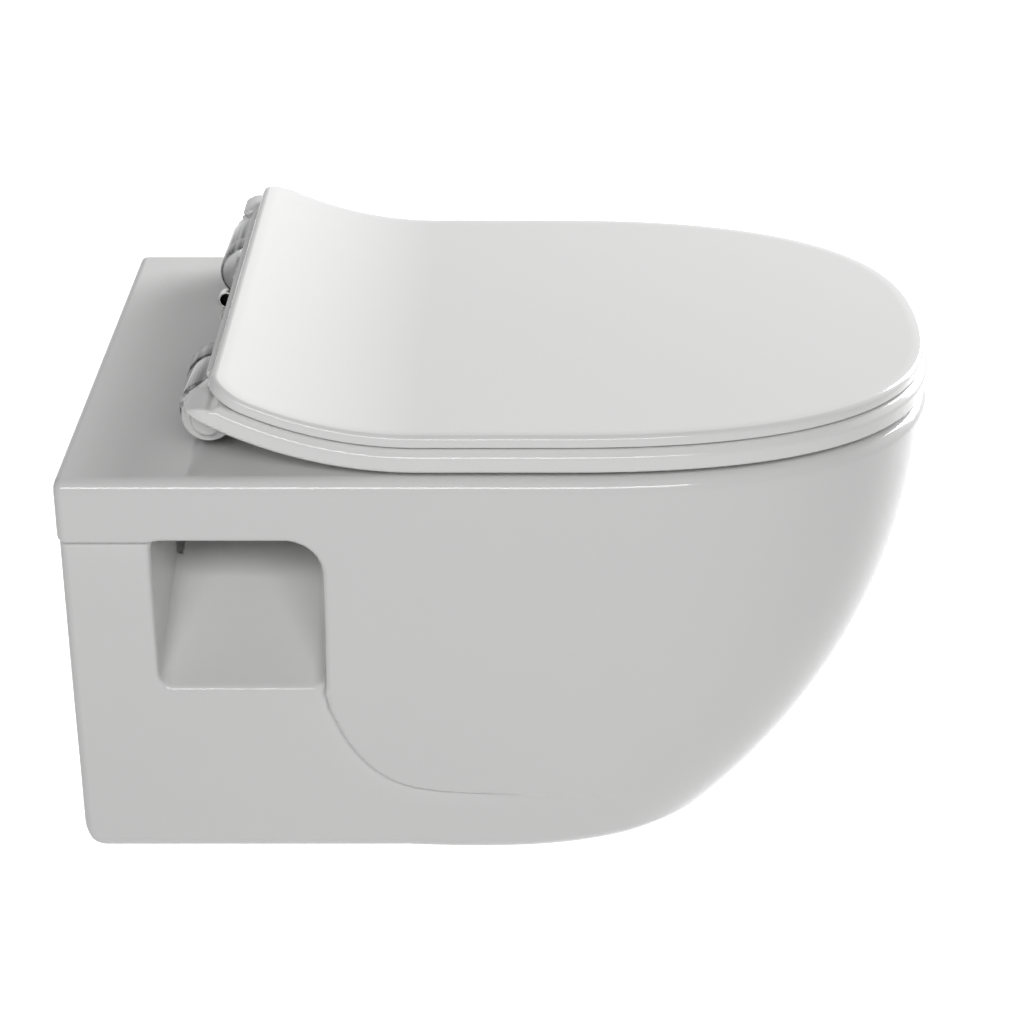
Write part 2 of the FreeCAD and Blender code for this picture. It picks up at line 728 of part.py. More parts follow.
# Which piece each side's damper slows, and the bush that carries the other one: (name, start, end, bore).
DAMPED = {-1: "seat", 1: "lid"}
BUSHES = {
    -1: ("lid_bush", "lug_start", "lug_end", "shaft_radius + running_gap"),
    1: ("seat_bush", "knuckle_start", "knuckle_end", "shaft_radius - flat_depth + running_gap"),
}
shafts, bushes = {}, {}
for word, side in SIDES:
    outwards = OUTWARDS[side]
    bolt_x = f"{side} * sizes.bolt_offset"
    post_x = f"{side} * sizes.post_offset"

    # What holds the hinge to the deck: gasket, plate with its post and eye, bolt, cone washer and wing nut.
    gasket_blank = rounded_plate(f"gasket_{word}", side, "0", "sizes.gasket_thickness")
    gasket_hole = cylinder(f"gasket_hole_{word}", "sizes.bolt_radius + sizes.thread_gap",
                           "sizes.gasket_thickness", (bolt_x, HINGE_Y, DECK_LEVEL))
    node(f"plate_gasket_{word}", cut(f"gasket_body_{word}", gasket_blank, gasket_hole))

    bolt = turned(f"bolt_{word}", [
        ("0", "0"), ("bolt_radius - 0.6", "0"), ("bolt_radius", "0.6"),
        ("bolt_radius", f"{BOLT_TOP} - bolt_head_length"), ("bolt_head_radius", BOLT_TOP), ("0", BOLT_TOP),
    ], (bolt_x, HINGE_Y, f"{DECK_LEVEL} - sizes.bolt_end"))
    socket = cylinder(f"bolt_socket_{word}", "sizes.socket_radius", "sizes.socket_depth + 1", (
        bolt_x, HINGE_Y, f"{DECK_LEVEL} + {PLATE_TOP} - sizes.socket_depth"))
    node(f"hinge_bolt_{word}", cut(f"bolt_body_{word}", bolt, socket))

    post = turned(f"post_{word}", [
        ("0", "0"), ("post_radius", "0"), ("post_radius", "post_top - 10"),
        ("post_neck_radius", "post_top - 9"), ("post_neck_radius", "post_top - 6.5"),
        ("post_radius", "post_top - 6.5"),
        ("post_radius", "post_top - 5"), ("post_radius - 1", "post_top - 4"), ("0", "post_top - 4"),
    ], (post_x, HINGE_Y, f"{DECK_LEVEL} + 4"))
    eye_place = (f"{side} * sizes.eye_start", "-sizes.eye_reach", f"{DECK_LEVEL} + sizes.eye_height")
    eye = cylinder(f"eye_{word}", "sizes.eye_radius", "sizes.eye_length", eye_place, outwards)
    eye_hole = cylinder(f"eye_hole_{word}", "sizes.eye_bore", "sizes.eye_length - 1", eye_place, outwards)
    plate = rounded_plate(f"plate_{word}", side, "sizes.gasket_thickness", "sizes.plate_thickness")
    plate_blank = fuse(f"plate_and_post_{word}", plate, post, eye)
    plate_holes = fuse(f"plate_holes_{word}", bolt, eye_hole)
    node(f"hinge_plate_{word}", cut(f"plate_body_{word}", plate_blank, plate_holes))

    washer_bore = "bolt_radius + thread_gap"
    node(f"cone_washer_{word}", turned(f"washer_{word}", [
        (washer_bore, "0"), ("plate_radius", "0"), ("plate_radius", "washer_flange"),
        ("bolt_hole_radius - 0.1", "washer_flange"), ("bolt_hole_radius - 1.2", "washer_length"),
        (washer_bore, "washer_length"),
    ], (bolt_x, HINGE_Y, f"{DECK_LEVEL} - sizes.slab_thickness - sizes.washer_flange")))

    nut_level = f"{DECK_LEVEL} - sizes.slab_thickness - sizes.washer_flange - sizes.nut_length"
    hub = cylinder(f"nut_hub_{word}", "sizes.nut_hub_radius", "sizes.nut_length", (
        bolt_x, HINGE_Y, nut_level))
    wings = box(f"nut_wings_{word}", (
        f"{bolt_x} - sizes.wing_thickness / 2", f"{HINGE_Y} - sizes.wing_span / 2", nut_level), (
        "sizes.wing_thickness", "sizes.wing_span", "sizes.nut_length - 3"))
    node(f"wing_nut_{word}", cut(f"nut_body_{word}", fuse(f"nut_blank_{word}", hub, wings), bolt))

    # What lifts off with the seat: foot, barrel, damper case and button spring.
    cup = turned(f"cup_{word}", [
        ("0", "0"), ("cup_radius - 2.5", "0"), ("cup_radius - 0.7", "0.8"), ("cup_radius", "2.5"),
        ("cup_radius", CUP_LENGTH), ("barrel_bore + 3", CUP_LENGTH),
        ("barrel_bore + 3", f"{CUP_LENGTH} + foot_tail"), ("0", f"{CUP_LENGTH} + foot_tail"),
    ], (f"{side} * sizes.cup_start",) + HINGE_LINE, outwards)
    boss = cylinder(f"foot_boss_{word}", "sizes.post_offset - sizes.cup_start", "sizes.boss_length", (
        post_x, HINGE_Y, f"{DECK_LEVEL} + {PLATE_TOP} + sizes.lift_gap"))
    button_bore = on_hinge(f"button_bore_{word}", side, "sizes.button_radius + sizes.running_gap",
                           "sizes.cup_start - 1", "sizes.cup_start + 23")
    post_bore = cylinder(f"post_bore_{word}", "sizes.post_radius + sizes.running_gap", "sizes.post_top", (
        post_x, HINGE_Y, f"{DECK_LEVEL} + 0.8"))
    latch_slot = block(f"latch_slot_{word}", side, (92.8, 99.2), 5.6, (9, 19))
    foot = cut(f"foot_body_{word}", fuse(f"foot_blank_{word}", cup, boss),
               fuse(f"foot_hollows_{word}", button_bore, post_bore, latch_slot))
    node(f"hinge_foot_{word}", foot)

    node(f"hinge_barrel_{word}", turned(f"barrel_{word}", [
        ("barrel_bore + 3", "0"), ("barrel_radius", "0"), ("barrel_radius", "barrel_end - barrel_start - 1"),
        ("barrel_radius - 1", "barrel_end - barrel_start"), ("barrel_bore", "barrel_end - barrel_start"),
        ("barrel_bore", "foot_tail + 1"), ("barrel_bore + 3", "foot_tail + 1"),
    ], (f"{side} * sizes.barrel_start",) + HINGE_LINE, outwards))

    case_bore = "shaft_radius + running_gap"
    node(f"{DAMPED[side]}_damper_case", turned(f"case_{word}", [
        ("0", "0"), ("barrel_bore - 1", "0"), ("barrel_bore", "1"), ("barrel_bore", CASE_LENGTH),
        (case_bore, CASE_LENGTH), (case_bore, "11"), ("0", "11"),
    ], (f"{side} * (sizes.barrel_start + sizes.case_offset)",) + HINGE_LINE, outwards))

    button_start = "sizes.cup_start - sizes.button_proud"
    button = on_hinge(f"button_face_{word}", side, "sizes.button_radius", button_start,
                      f"{button_start} + sizes.button_length")
    tongue = block(f"latch_tongue_{word}", side, (91, 95.3), 4.8, (18.6, 20))
    latch = block(f"latch_{word}", side, (93.3, 95.3), 4.8, (9.4, 20))
    node(f"release_button_{word}", fuse(f"button_body_{word}", button, tongue, latch))

    coil_start = size["cup_start"] - size["button_proud"] + size["button_length"] + 0.5
    coil_length, coil_radius = size["spring_length"], size["spring_radius"]
    helix = Part.makeHelix(coil_length / size["spring_turns"], coil_length, coil_radius)
    ring = Part.Wire([Part.makeCircle(
        size["spring_wire_radius"], FreeCAD.Vector(coil_radius, 0, 0), FreeCAD.Vector(0, 1, 0))])
    spring = feature(f"spring_{word}", helix.makePipeShell([ring], True, True))
    spring.Placement = FreeCAD.Placement(at(HINGE[0], side * coil_start, HINGE[1]), TURNS[outwards])
    node(f"button_spring_{word}", spring)

    # The damper shafts: the left one turns with the seat and the right one with the lid.
    shaft_profile = [("0", "0"), ("shaft_radius", "0")]
    if DAMPED[side] == "seat":
        shaft_profile += [("shaft_radius", ROD_END)]
        flat_span = (size["knuckle_start"], size["shaft_end"] + 1)
    else:
        lug_place = "lug_end - barrel_start - rod_offset"
        shaft_profile += [("shaft_radius", lug_place), ("shaft_radius - flat_depth", lug_place),
                          ("shaft_radius - flat_depth", ROD_END)]
        flat_span = (size["lug_start"], size["lug_end"])
    shaft_profile += [("0", ROD_END)]
    rod = turned(f"rod_{word}", shaft_profile, (
        f"{side} * (sizes.barrel_start + sizes.rod_offset)",) + HINGE_LINE, outwards)
    flat_low = HINGE[1] + size["shaft_radius"] - size["flat_depth"]
    flat = block(f"shaft_flat_{word}", side, flat_span, 12, (flat_low, flat_low + 4))
    shafts[word] = cut(f"shaft_{word}", rod, flat)
    node(f"{DAMPED[side]}_damper_shaft", shafts[word])

    # The bushes in which the other piece's shaft turns.
    bush, start, end, bush_bore = BUSHES[side]
    bush_length = f"{end} - {start}"
    node(bush, turned(f"bush_{word}", [
        (bush_bore, "0"), ("bush_radius", "0"), ("bush_radius", bush_length), (bush_bore, bush_length),
    ], (f"{side} * sizes.{start}",) + HINGE_LINE, outwards))
    bushes[word] = on_hinge(f"bush_seat_{word}", side, "sizes.bush_radius", f"sizes.{start} - 0.3",
                            f"sizes.{end} + 0.5")

node("lid", cut("lid_body", lid_blank_fused, fuse("lid_bores", shafts["right"], bushes["left"])))
node("seat", cut("seat_body", seat_fused, fuse("seat_bores", shafts["left"], bushes["right"])))

BUFFERS = {
    "seat_buffers": ([(212, 150), (430, 128)], "seat_underside", "sizes.seat_underside - sizes.buffer_gap"),
    "lid_buffers": ([(300, 150), (440, 118)], "lid_top - lid_thickness", "sizes.lid_gap - sizes.buffer_gap"),
}
for name, (places, top_height, thickness) in BUFFERS.items():
    discs = []
    for reach, offset in places:
        for word, side in SIDES:
            discs.append(cylinder(f"{name}_{reach}_{word}", "sizes.buffer_radius", thickness, (
                f"{side * offset}", f"-{reach}", f"{DECK_LEVEL} + {bound(top_height)} - ({thickness})")))
    node(name, fuse(f"{name}_group", *discs))


# ---- checks and export ---------------------------------------------------------------------------

doc.recompute()
for made in doc.Objects:
    if any(word in made.State for word in ("Invalid", "Error")):
        sys.exit(f"{made.Name} could not be worked out: {made.State}")
for name, made in nodes.items():
    if made.Shape.isNull() or not made.Shape.isValid() or not made.Shape.Solids:
        sys.exit(f"{name} has no sound solid")
for name, made in nodes.items():
    made.Shape.exportStep(f"parts/{name}.step")
    print(f"{name}: {made.Shape.Volume / 1000:.1f} cm3, {len(made.Shape.Solids)} solid(s)")
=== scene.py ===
import math

import bmesh
import bpy
import numpy as np
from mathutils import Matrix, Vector


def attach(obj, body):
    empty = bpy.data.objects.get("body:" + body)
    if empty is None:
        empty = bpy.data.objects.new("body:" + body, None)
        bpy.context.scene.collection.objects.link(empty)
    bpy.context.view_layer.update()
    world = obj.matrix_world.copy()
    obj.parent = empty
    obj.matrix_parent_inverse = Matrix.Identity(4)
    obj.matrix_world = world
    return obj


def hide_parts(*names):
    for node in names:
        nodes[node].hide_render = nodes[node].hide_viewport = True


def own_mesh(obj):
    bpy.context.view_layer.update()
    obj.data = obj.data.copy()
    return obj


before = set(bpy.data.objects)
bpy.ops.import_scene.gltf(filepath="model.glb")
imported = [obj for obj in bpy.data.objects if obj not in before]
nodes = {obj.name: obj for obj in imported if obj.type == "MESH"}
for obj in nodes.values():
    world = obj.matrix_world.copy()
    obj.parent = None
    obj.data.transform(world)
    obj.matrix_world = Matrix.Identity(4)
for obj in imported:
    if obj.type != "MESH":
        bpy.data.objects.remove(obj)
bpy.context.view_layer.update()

SIDES = (("left", -1), ("right", 1))


# ---- pan -----------------------------------------------------------------------------------------
# The body of the toilet is one slip-cast piece of vitreous china: a deck slab with soft edges, a
# rounded bowl form that leans back to the wall, and a skirt that stands a little behind both.
# It is fired with a white glaze, which rounds every edge, and hangs on two studs in the wall.

PAN_HALF_WIDTH, PAN_HEIGHT, SLAB = 185, 249.5, 38
DECK = 80
PAN_REACH, FRONT_ARC, FRONT_DEPTH = 502, 314.0, 228
DECK_EDGE, BASE_EDGE = 8, 14
WALL_EDGE, WALL_EDGE_DROP = 30, 5  # the low corner at the wall: its arc is set below the base


def meet(a, b, round_by):
    """What lies in both forms, as distances in mm, with the edge between them rounded."""
    both = np.hypot(np.maximum(a + round_by, 0), np.maximum(b + round_by, 0)) - round_by
    return both + np.minimum(np.maximum(a, b) + round_by, 0)


def join(a, b, fillet):
    return -meet(-a, -b, fillet)


def cut(a, b, round_by):
    return meet(a, -b, round_by)


def round_front(s, w, tip, half, fullness, lean=0.0):
    """Straight sides and a full round front: distance outside the outline at reach s, across w."""
    along = np.maximum(s - (tip - FRONT_DEPTH), 0) / FRONT_DEPTH
    beside = w / half
    size = np.maximum((along ** fullness + beside ** fullness) ** (1 / fullness), 1e-3)
    slope_s = (along / size) ** (fullness - 1) / FRONT_DEPTH
    slope_w = (beside / size) ** (fullness - 1) / half
    return (size - 1) / np.sqrt(slope_s ** 2 * (1 + lean ** 2) + slope_w ** 2 + 1e-12)


def smooth_table(x, xs, ys):
    """The height and slope at x of a smooth curve through a rising table."""
    slopes = np.gradient(ys, xs)
    x = np.clip(x, xs[0], xs[-1])
    i = np.clip(np.searchsorted(xs, x) - 1, 0, len(xs) - 2)
    run = xs[i + 1] - xs[i]
    t = (x - xs[i]) / run
    y0, y1, m0, m1 = ys[i], ys[i + 1], slopes[i] * run, slopes[i + 1] * run
    height = ((2 * t - 3) * t * t + 1) * y0 + ((t - 2) * t + 1) * t * m0
    height = height + (3 - 2 * t) * t * t * y1 + (t - 1) * t * t * m1
    rise = (6 * t * t - 6 * t) * (y0 - y1) + (3 * t * t - 4 * t + 1) * m0 + (3 * t * t - 2 * t) * m1
    return height, rise / run


def along_line(s, h, line):
    """Distance in the side view from an open line of (reach, height) points."""
    nearest = np.inf
    for (s0, h0), (s1, h1) in zip(line, line[1:]):
        ds, dh = s1 - s0, h1 - h0
        share = np.clip(((s - s0) * ds + (h - h0) * dh) / (ds * ds + dh * dh), 0, 1)
        nearest = np.minimum(nearest, (s - s0 - share * ds) ** 2 + (h - h0 - share * dh) ** 2)
    return np.sqrt(nearest)


def side_view(s, h, outline):
    """Distance outside a closed outline of (reach, height) points, drawn from the side."""
    inside = False
    for (s0, h0), (s1, h1) in zip(outline, outline[1:] + outline[:1]):
        if h0 != h1:
            inside = inside ^ (((h0 > h) != (h1 > h)) & (s < s0 + (h - h0) * (s1 - s0) / (h1 - h0)))
    return along_line(s, h, outline + outline[:1]) * np.where(inside, -1, 1)


def eased(points, steps=6, loop=False):
    """A smooth line through a few (reach, height) points."""
    p = np.array(points, float)
    ends = (p[-1:], p[:2]) if loop else (2 * p[:1] - p[1:2], 2 * p[-1:] - p[-2:-1])
    p = np.concatenate([ends[0], p, ends[1]])
    line = []
    for a, b, c, d in zip(p, p[1:], p[2:], p[3:]):
        for t in np.arange(steps) / steps:
            line.append(tuple(0.5 * (2 * b + (c - a) * t + (2 * a - 5 * b + 4 * c - d) * t ** 2
                                     + (3 * b - a - 3 * c + d) * t ** 3)))
    if not loop:
        line.append(tuple(p[-2]))
    return line


NICHE_START, NICHE_END, NICHE_INNER = 50, 145, 58
BULGE_LINE = eased([
    (NICHE_END, -134), (149, -149), (163, -175), (186, -194), (222, -201), (290, -204), (400, -214)])
SKIRT_REGION = [(-80, -SLAB), (NICHE_END, -SLAB)] + BULGE_LINE + [(420, -400), (-80, -400)]
BOWL = np.array([  # height above the deck, centre's reach, half-length, half-width
    (-215, 245, 31, 28), (-213, 245, 32, 29), (-195, 253, 52, 45), (-165, 272, 80, 70),
    (-125, 292, 113, 104), (-80, 305, 140, 131), (-35, 313, 157, 148), (3, 314, 160, 151),
    (60, 314, 161, 152),
], float)


def rounded_corners(points, radii, steps=8):
    """A side-view line whose corners are arcs that touch both runs."""
    line = [points[0]]
    for a, b, c, radius in zip(points, points[1:], points[2:], radii):
        a, b, c = (np.array(p, float) for p in (a, b, c))
        back, ahead = (a - b) / np.linalg.norm(a - b), (c - b) / np.linalg.norm(c - b)
        half_angle = math.acos(np.clip(back @ ahead, -1, 1)) / 2
        middle = (back + ahead) / np.linalg.norm(back + ahead)
        hub = b + middle * radius / math.sin(half_angle)
        first = b + back * radius / math.tan(half_angle) - hub
        last = b + ahead * radius / math.tan(half_angle) - hub
        turn = math.atan2(first[0] * last[1] - first[1] * last[0], first @ last)
        for k in range(steps + 1):
            c1, s1 = math.cos(turn * k / steps), math.sin(turn * k / steps)
            line.append(tuple(hub + (first[0] * c1 - first[1] * s1, first[0] * s1 + first[1] * c1)))
    return line + [points[-1]]


# Falls are measured down from the deck, and bores are radii.
OUTLET_FALL, OUTLET_BORE, SPIGOT_RADIUS, TRAP_RADIUS = 180, 42, 51, 26
INLET_FALL, INLET_BORE, FLUSH_RADIUS = 45, 27.5, 14
TRAP_LINE = rounded_corners(
    [(258, -187), (205, -200), (122, -94), (76, -94), (45, -OUTLET_FALL), (20, -OUTLET_FALL)],
    [45, 42, 36, 30])
FLUSH_LINE = [(44, -INLET_FALL), (172, -32)]
FIXING_ACROSS, FIXING_FALL, FIXING_BORE = 90, 80, 9.5
BOLT_ACROSS, BOLT_BORE, HINGE_REACH, HINGE_HEIGHT = 77.5, 7, 83, 24


def pan_outside(s, w, h):
    """The outer skin, which leans back to the wall on an arc and narrows a little on its way down."""
    depth = np.clip(-h, 0, 262)
    share, drop = depth / PAN_HEIGHT, np.sqrt(FRONT_ARC ** 2 - depth ** 2)
    tip, half = PAN_REACH - FRONT_ARC + drop, PAN_HALF_WIDTH - 4 * share ** 2
    return round_front(s, w, tip, half, 2.5 + 0.7 * share ** 2, depth / drop)


def bowl_hollow(s, w, h):
    centre, centre_slope = smooth_table(h, BOWL[:, 0], BOWL[:, 1])
    long, long_slope = smooth_table(h, BOWL[:, 0], BOWL[:, 2])
    wide, wide_slope = smooth_table(h, BOWL[:, 0], BOWL[:, 3])
    along, beside, full = np.abs(s - centre) / long, w / wide, 2.25
    size = np.maximum((along ** full + beside ** full) ** (1 / full), 1e-3)
    slope_s, slope_w = (along / size) ** (full - 1) / long, (beside / size) ** (full - 1) / wide
    slope_h = slope_s * (np.sign(s - centre) * centre_slope + along * long_slope)
    slope_h = slope_h + slope_w * beside * wide_slope
    return meet((size - 1) / np.sqrt(slope_s ** 2 + slope_w ** 2 + slope_h ** 2), -213 - h, 14)


def pan_form(s, x, h):
    """The glazed china body: less than 0 inside, more than 0 outside, in mm."""
    w = np.abs(x)
    outer = meet(meet(pan_outside(s, w, h), h, DECK_EDGE), -PAN_HEIGHT - h, BASE_EDGE)
    region = side_view(s, h, SKIRT_REGION)
    corner = meet(h + SLAB, s - NICHE_END, 20)
    region = np.where((h > -80) & (s > 60), np.maximum(region, corner), region)
    soft = np.clip((s - 225) / 130, 0, 1) * np.clip((-h - 110) / 40, 0, 1)
    inset = np.clip(6 - 10 * np.clip((s - 190) / 220, 0, 1), 0, 6)
    body = join(cut(outer, region, 2.2 + 7 * soft), outer + inset, 2 + 8 * soft)
    wall_side = meet(-s, -PAN_HEIGHT - WALL_EDGE_DROP - h, WALL_EDGE)
    body = meet(np.maximum(body, outer), wall_side, 5)
    niche = meet(corner, NICHE_START + 6 * np.clip((179 - w) / 121, 0, 1) - s, 8)
    floor = -71 - (w - NICHE_INNER) * 63 / 121
    niche = meet(niche, meet(NICHE_INNER - w, (floor - h) * 0.887, 8), 8)
    body = cut(body, niche, 4.5 - 2.3 * np.clip((-h - 90) / 40, 0, 1))
    trap = np.hypot(along_line(s, h, TRAP_LINE), w) - TRAP_RADIUS
    across_outlet = np.hypot(w, h + OUTLET_FALL)
    outlet = meet(across_outlet - OUTLET_BORE, s - 19, 3)
    flare = meet((across_outlet - OUTLET_BORE + (s - 12) * 16 / 22) * 0.81, s - 40, 1)
    flush = np.hypot(along_line(s, h, FLUSH_LINE), w) - FLUSH_RADIUS
    inlet = meet(np.hypot(w, h + INLET_FALL) - INLET_BORE, s - 50, 3)
    water_way = join(join(bowl_hollow(s, w, h), trap, 9), join(outlet, flare, 2), 2)
    water_way = join(water_way, join(flush, inlet, 2), 5)
    body = cut(body, water_way, 2 + 9 * np.clip((h + 20) / 20, 0, 1))
    recess = meet(meet(w - 64, s - 45, 5), h + 116, 8)
    spigot = meet(across_outlet - SPIGOT_RADIUS, 2 - s, 3)
    body = cut(body, cut(recess, spigot, 2), 4)
    fixing = meet(np.hypot(w - FIXING_ACROSS, h + FIXING_FALL) - FIXING_BORE, s - 56, 1)
    hinge_hole = meet(np.hypot(w - BOLT_ACROSS, s - HINGE_REACH) - BOLT_BORE, -47 - h, 1)
    return cut(body, np.minimum(fixing, hinge_hole), 1.5)


def slope_of(form, spots, reach=0.15):
    """The form's distance at each spot, and which way it grows."""
    def value(p):
        return form(p[:, 0], p[:, 1], p[:, 2])
    steps = [(value(spots + reach * way) - value(spots - reach * way)) / (2 * reach) for way in np.eye(3)]
    return value(spots), np.stack(steps, axis=1)


def add_piece(name, mesh):
    piece = bpy.data.objects.new(name, mesh)
    bpy.context.scene.collection.objects.link(piece)
    return piece


def settled(piece):
    """Turns a piece's modifiers into plain mesh."""
    graph = bpy.context.evaluated_depsgraph_get()
    made = bpy.data.meshes.new_from_object(piece.evaluated_get(graph))
    piece.modifiers.clear()
    piece.data = made
    made.name = piece.name
    return piece


def cast(name, form, low, high, cell, most_faces, mirrored=False):
    """A closed mesh of a form between two (reach, across, height) corners, all in mm."""
    lines = [np.arange(a, b + cell, cell) for a, b in zip(low, high)]
    if mirrored:
        lines[1] = np.arange(0, high[1] + cell, cell)
    s, x, h = np.meshgrid(*lines, indexing="ij", sparse=True)
    values = np.broadcast_to(form(s, x, h), (s.size, x.size, h.size))
    start = np.array([line[0] for line in lines])
    if mirrored:
        values = np.concatenate([values[:, :0:-1], values], axis=1)
        start[1] = -lines[1][-1]
    # Each cell that the surface crosses gets one point, in the middle of its edges' crossings.
    solid, cells = values < 0, np.array(values.shape) - 1
    sums, counts, rings = np.zeros((3, cells.prod())), np.zeros(cells.prod()), []
    for k in range(3):
        first, second = [slice(None)] * 3, [slice(None)] * 3
        first[k], second[k] = slice(0, -1), slice(1, None)
        edge = np.argwhere(solid[tuple(first)] != solid[tuple(second)])
        here, there = values[tuple(edge.T)], values[tuple((edge + np.eye(3, dtype=int)[k]).T)]
        spot = edge.astype(float)
        spot[:, k] += here / (here - there)
        one, other = [j for j in range(3) if j != k]
        ring = []
        for back_one, back_other in ((0, 0), (1, 0), (1, 1), (0, 1)):
            corner = edge.copy()
            corner[:, one] -= back_one
            corner[:, other] -= back_other
            ring.append(np.ravel_multi_index(corner.T, cells))
            counts += np.bincount(ring[-1], minlength=counts.size)
            for j in range(3):
                sums[j] += np.bincount(ring[-1], weights=spot[:, j], minlength=counts.size)
        ring = np.stack(ring, axis=1)
        turned = (here < 0) != (k == 1)
        ring[~turned] = ring[~turned, ::-1]
        rings.append(ring)
    used = np.flatnonzero(counts)
    number = np.full(counts.size, -1)
    number[used] = np.arange(used.size)
    points = (sums[:, used] / counts[used]).T * cell + start
    faces = number[np.concatenate(rings)]
    rough = bpy.data.meshes.new(name)
    rough.from_pydata(points.tolist(), [], faces.tolist())
    piece = add_piece(name, rough)
    thin = piece.modifiers.new("thin", "DECIMATE")
    thin.ratio = min(1.0, most_faces / (2 * len(faces)))
    mesh = settled(piece).data
    spots = np.zeros(len(mesh.vertices) * 3)
    mesh.vertices.foreach_get("co", spots)
    spots = spots.reshape(-1, 3)
    for _ in range(3):  # each pass brings the points closer to the form itself
        value, slope = slope_of(form, spots)
        spots -= np.clip(value / np.maximum((slope ** 2).sum(1), 0.2), -cell, cell)[:, None] * slope
    value, slope = slope_of(form, spots)
    slope /= np.maximum(np.linalg.norm(slope, axis=1), 1e-6)[:, None]
    spots = np.stack([spots[:, 1], -spots[:, 0], spots[:, 2] + DECK], axis=1) / 1000
    slope = np.stack([slope[:, 1], -slope[:, 0], slope[:, 2]], axis=1)
    mesh.vertices.foreach_set("co", spots.ravel())
    mesh.polygons.foreach_set("use_smooth", [True] * len(mesh.polygons))
    mesh.normals_split_custom_set_from_vertices(slope.tolist())
    mesh.update()
    return piece


class Wire:
    """An output of a node in a tree. Arithmetic on it adds the tree's Math nodes."""

    def __init__(self, tree, socket=None):
        self.tree, self.socket = tree, socket

    def node(self, kind, settings=None, values=None, out=0):
        """Adds a node: its settings first, then a value or a wire for each of its inputs."""
        made = self.tree.nodes.new(kind)
        for key, setting in (settings or {}).items():
            if key == "stops":
                ramp = made.color_ramp.elements
                while len(ramp) < len(setting):
                    ramp.new(0.5)
                for stop, (spot, shade) in zip(ramp, setting):
                    stop.position, stop.color = spot, (*shade, 1)
            else:
                setattr(made, key, setting)
        for key, value in (values or {}).items():
            if isinstance(value, Wire):
                self.tree.links.new(value.socket, made.inputs[key])
            else:
                made.inputs[key].default_value = value
        return Wire(self.tree, made.outputs[out])

    def math(self, operation, first, *others):
        return self.node("ShaderNodeMath", {"operation": operation}, dict(enumerate((first,) + others)))

    def into(self, shader, name):
        self.tree.links.new(self.socket, shader.inputs[name])

    def __add__(self, other):
        return self.math("ADD", self, other)

    def __sub__(self, other):
        return self.math("SUBTRACT", self, other)

    def __rsub__(self, other):
        return self.math("SUBTRACT", other, self)

    def __mul__(self, other):
        return self.math("MULTIPLY", self, other)

    def __truediv__(self, other):
        return self.math("DIVIDE", self, other)

    def __rtruediv__(self, other):
        return self.math("DIVIDE", other, self)

    def __pow__(self, other):
        return self.math("POWER", self, other)

    __radd__, __rmul__ = __add__, __mul__


def finish(name, colour, roughness, **sockets):
    """A new material with its even values set, its shader, and a wire from its Object coordinates."""
    material = bpy.data.materials.new(name)
    material.use_nodes = True
    shader = material.node_tree.nodes["Principled BSDF"]
    shader.inputs["Base Color"].default_value = (*colour, 1)
    shader.inputs["Roughness"].default_value = roughness
    for key, value in sockets.items():
        shader.inputs[key.replace("_", " ")].default_value = value
    return material, shader, Wire(material.node_tree).node("ShaderNodeTexCoord", out="Object")


def noise(place, scale, detail=2, stretch=None):
    """A cloudy pattern from 0 to 1, with this many cells in a metre."""
    if stretch:
        place = place.node("ShaderNodeMapping", None, {"Vector": place, "Scale": stretch})
    return place.node("ShaderNodeTexNoise", None, {"Vector": place, "Scale": scale, "Detail": detail}, "Fac")


def tint(shade, dark, light):
    """The colour between two others that a wire from 0 to 1 picks."""
    values = {0: shade, 6: (*dark, 1), 7: (*light, 1)}
    return shade.node("ShaderNodeMix", {"data_type": "RGBA"}, values, 2)


def bump(height, depth, strength=1.0):
    """A normal for a surface that rises this many metres where the wire is 1."""
    return height.node("ShaderNodeBump", None, {"Height": height, "Distance": depth, "Strength": strength})


def put_on(piece, material, body, slot, *replaced):
    """Dresses a finished piece and sets it on its body in place of CAD nodes."""
    piece.data.materials.clear()
    piece.data.materials.append(material)
    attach(piece, body)
    if replaced:
        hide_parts(*replaced)


glaze, shader, place = finish("white_glaze", (0.72, 0.72, 0.715), 0.10, Specular_IOR_Level=0.35)
cloud = noise(place, 7, 3)
tint(cloud, (0.700, 0.702, 0.700), (0.730, 0.730, 0.722)).into(shader, "Base Color")
(0.08 + 0.06 * noise(place, 25, 2)).into(shader, "Roughness")
ripple = noise(place, 16, 1) + 0.03 * noise(place, 350, 1)
bump(ripple, 0.0005, 0.8).into(shader, "Normal")

pan = cast("pan_glazed", pan_form, (-8, -192, -258), (510, 192, 8), 2.4, 190000, True)
put_on(pan, glaze, "pan_unit", "ceramic", "pan")


# ---- hinge fixings -------------------------------------------------------------------------------
# Each hinge stands on a stamped steel plate over a rubber gasket. A countersunk screw with a hexagon
# socket goes down through the deck, and a rubber cone washer and a moulded wing nut hold it in the
# niche's roof. A turned post and a rolled eye stand on the plate.

BOLT_LENGTH, BOLT_RADIUS, BOLT_TOP = 71.5, 3.0, 5.5


def geometry_tree(name, inputs):
    """A new tree that gives geometry, and a wire for each of its named sizes."""
    tree = bpy.data.node_groups.new(name, "GeometryNodeTree")
    tree.interface.new_socket("Geometry", in_out="OUTPUT", socket_type="NodeSocketGeometry")
    tree.interface.new_socket("Geometry", in_out="INPUT", socket_type="NodeSocketGeometry")
    for label, kind in inputs.items():
        tree.interface.new_socket(label, in_out="INPUT", socket_type="NodeSocket" + kind)
    entry = tree.nodes.new("NodeGroupInput")
    return tree, {label: Wire(tree, entry.outputs[label]) for label in ["Geometry", *inputs]}


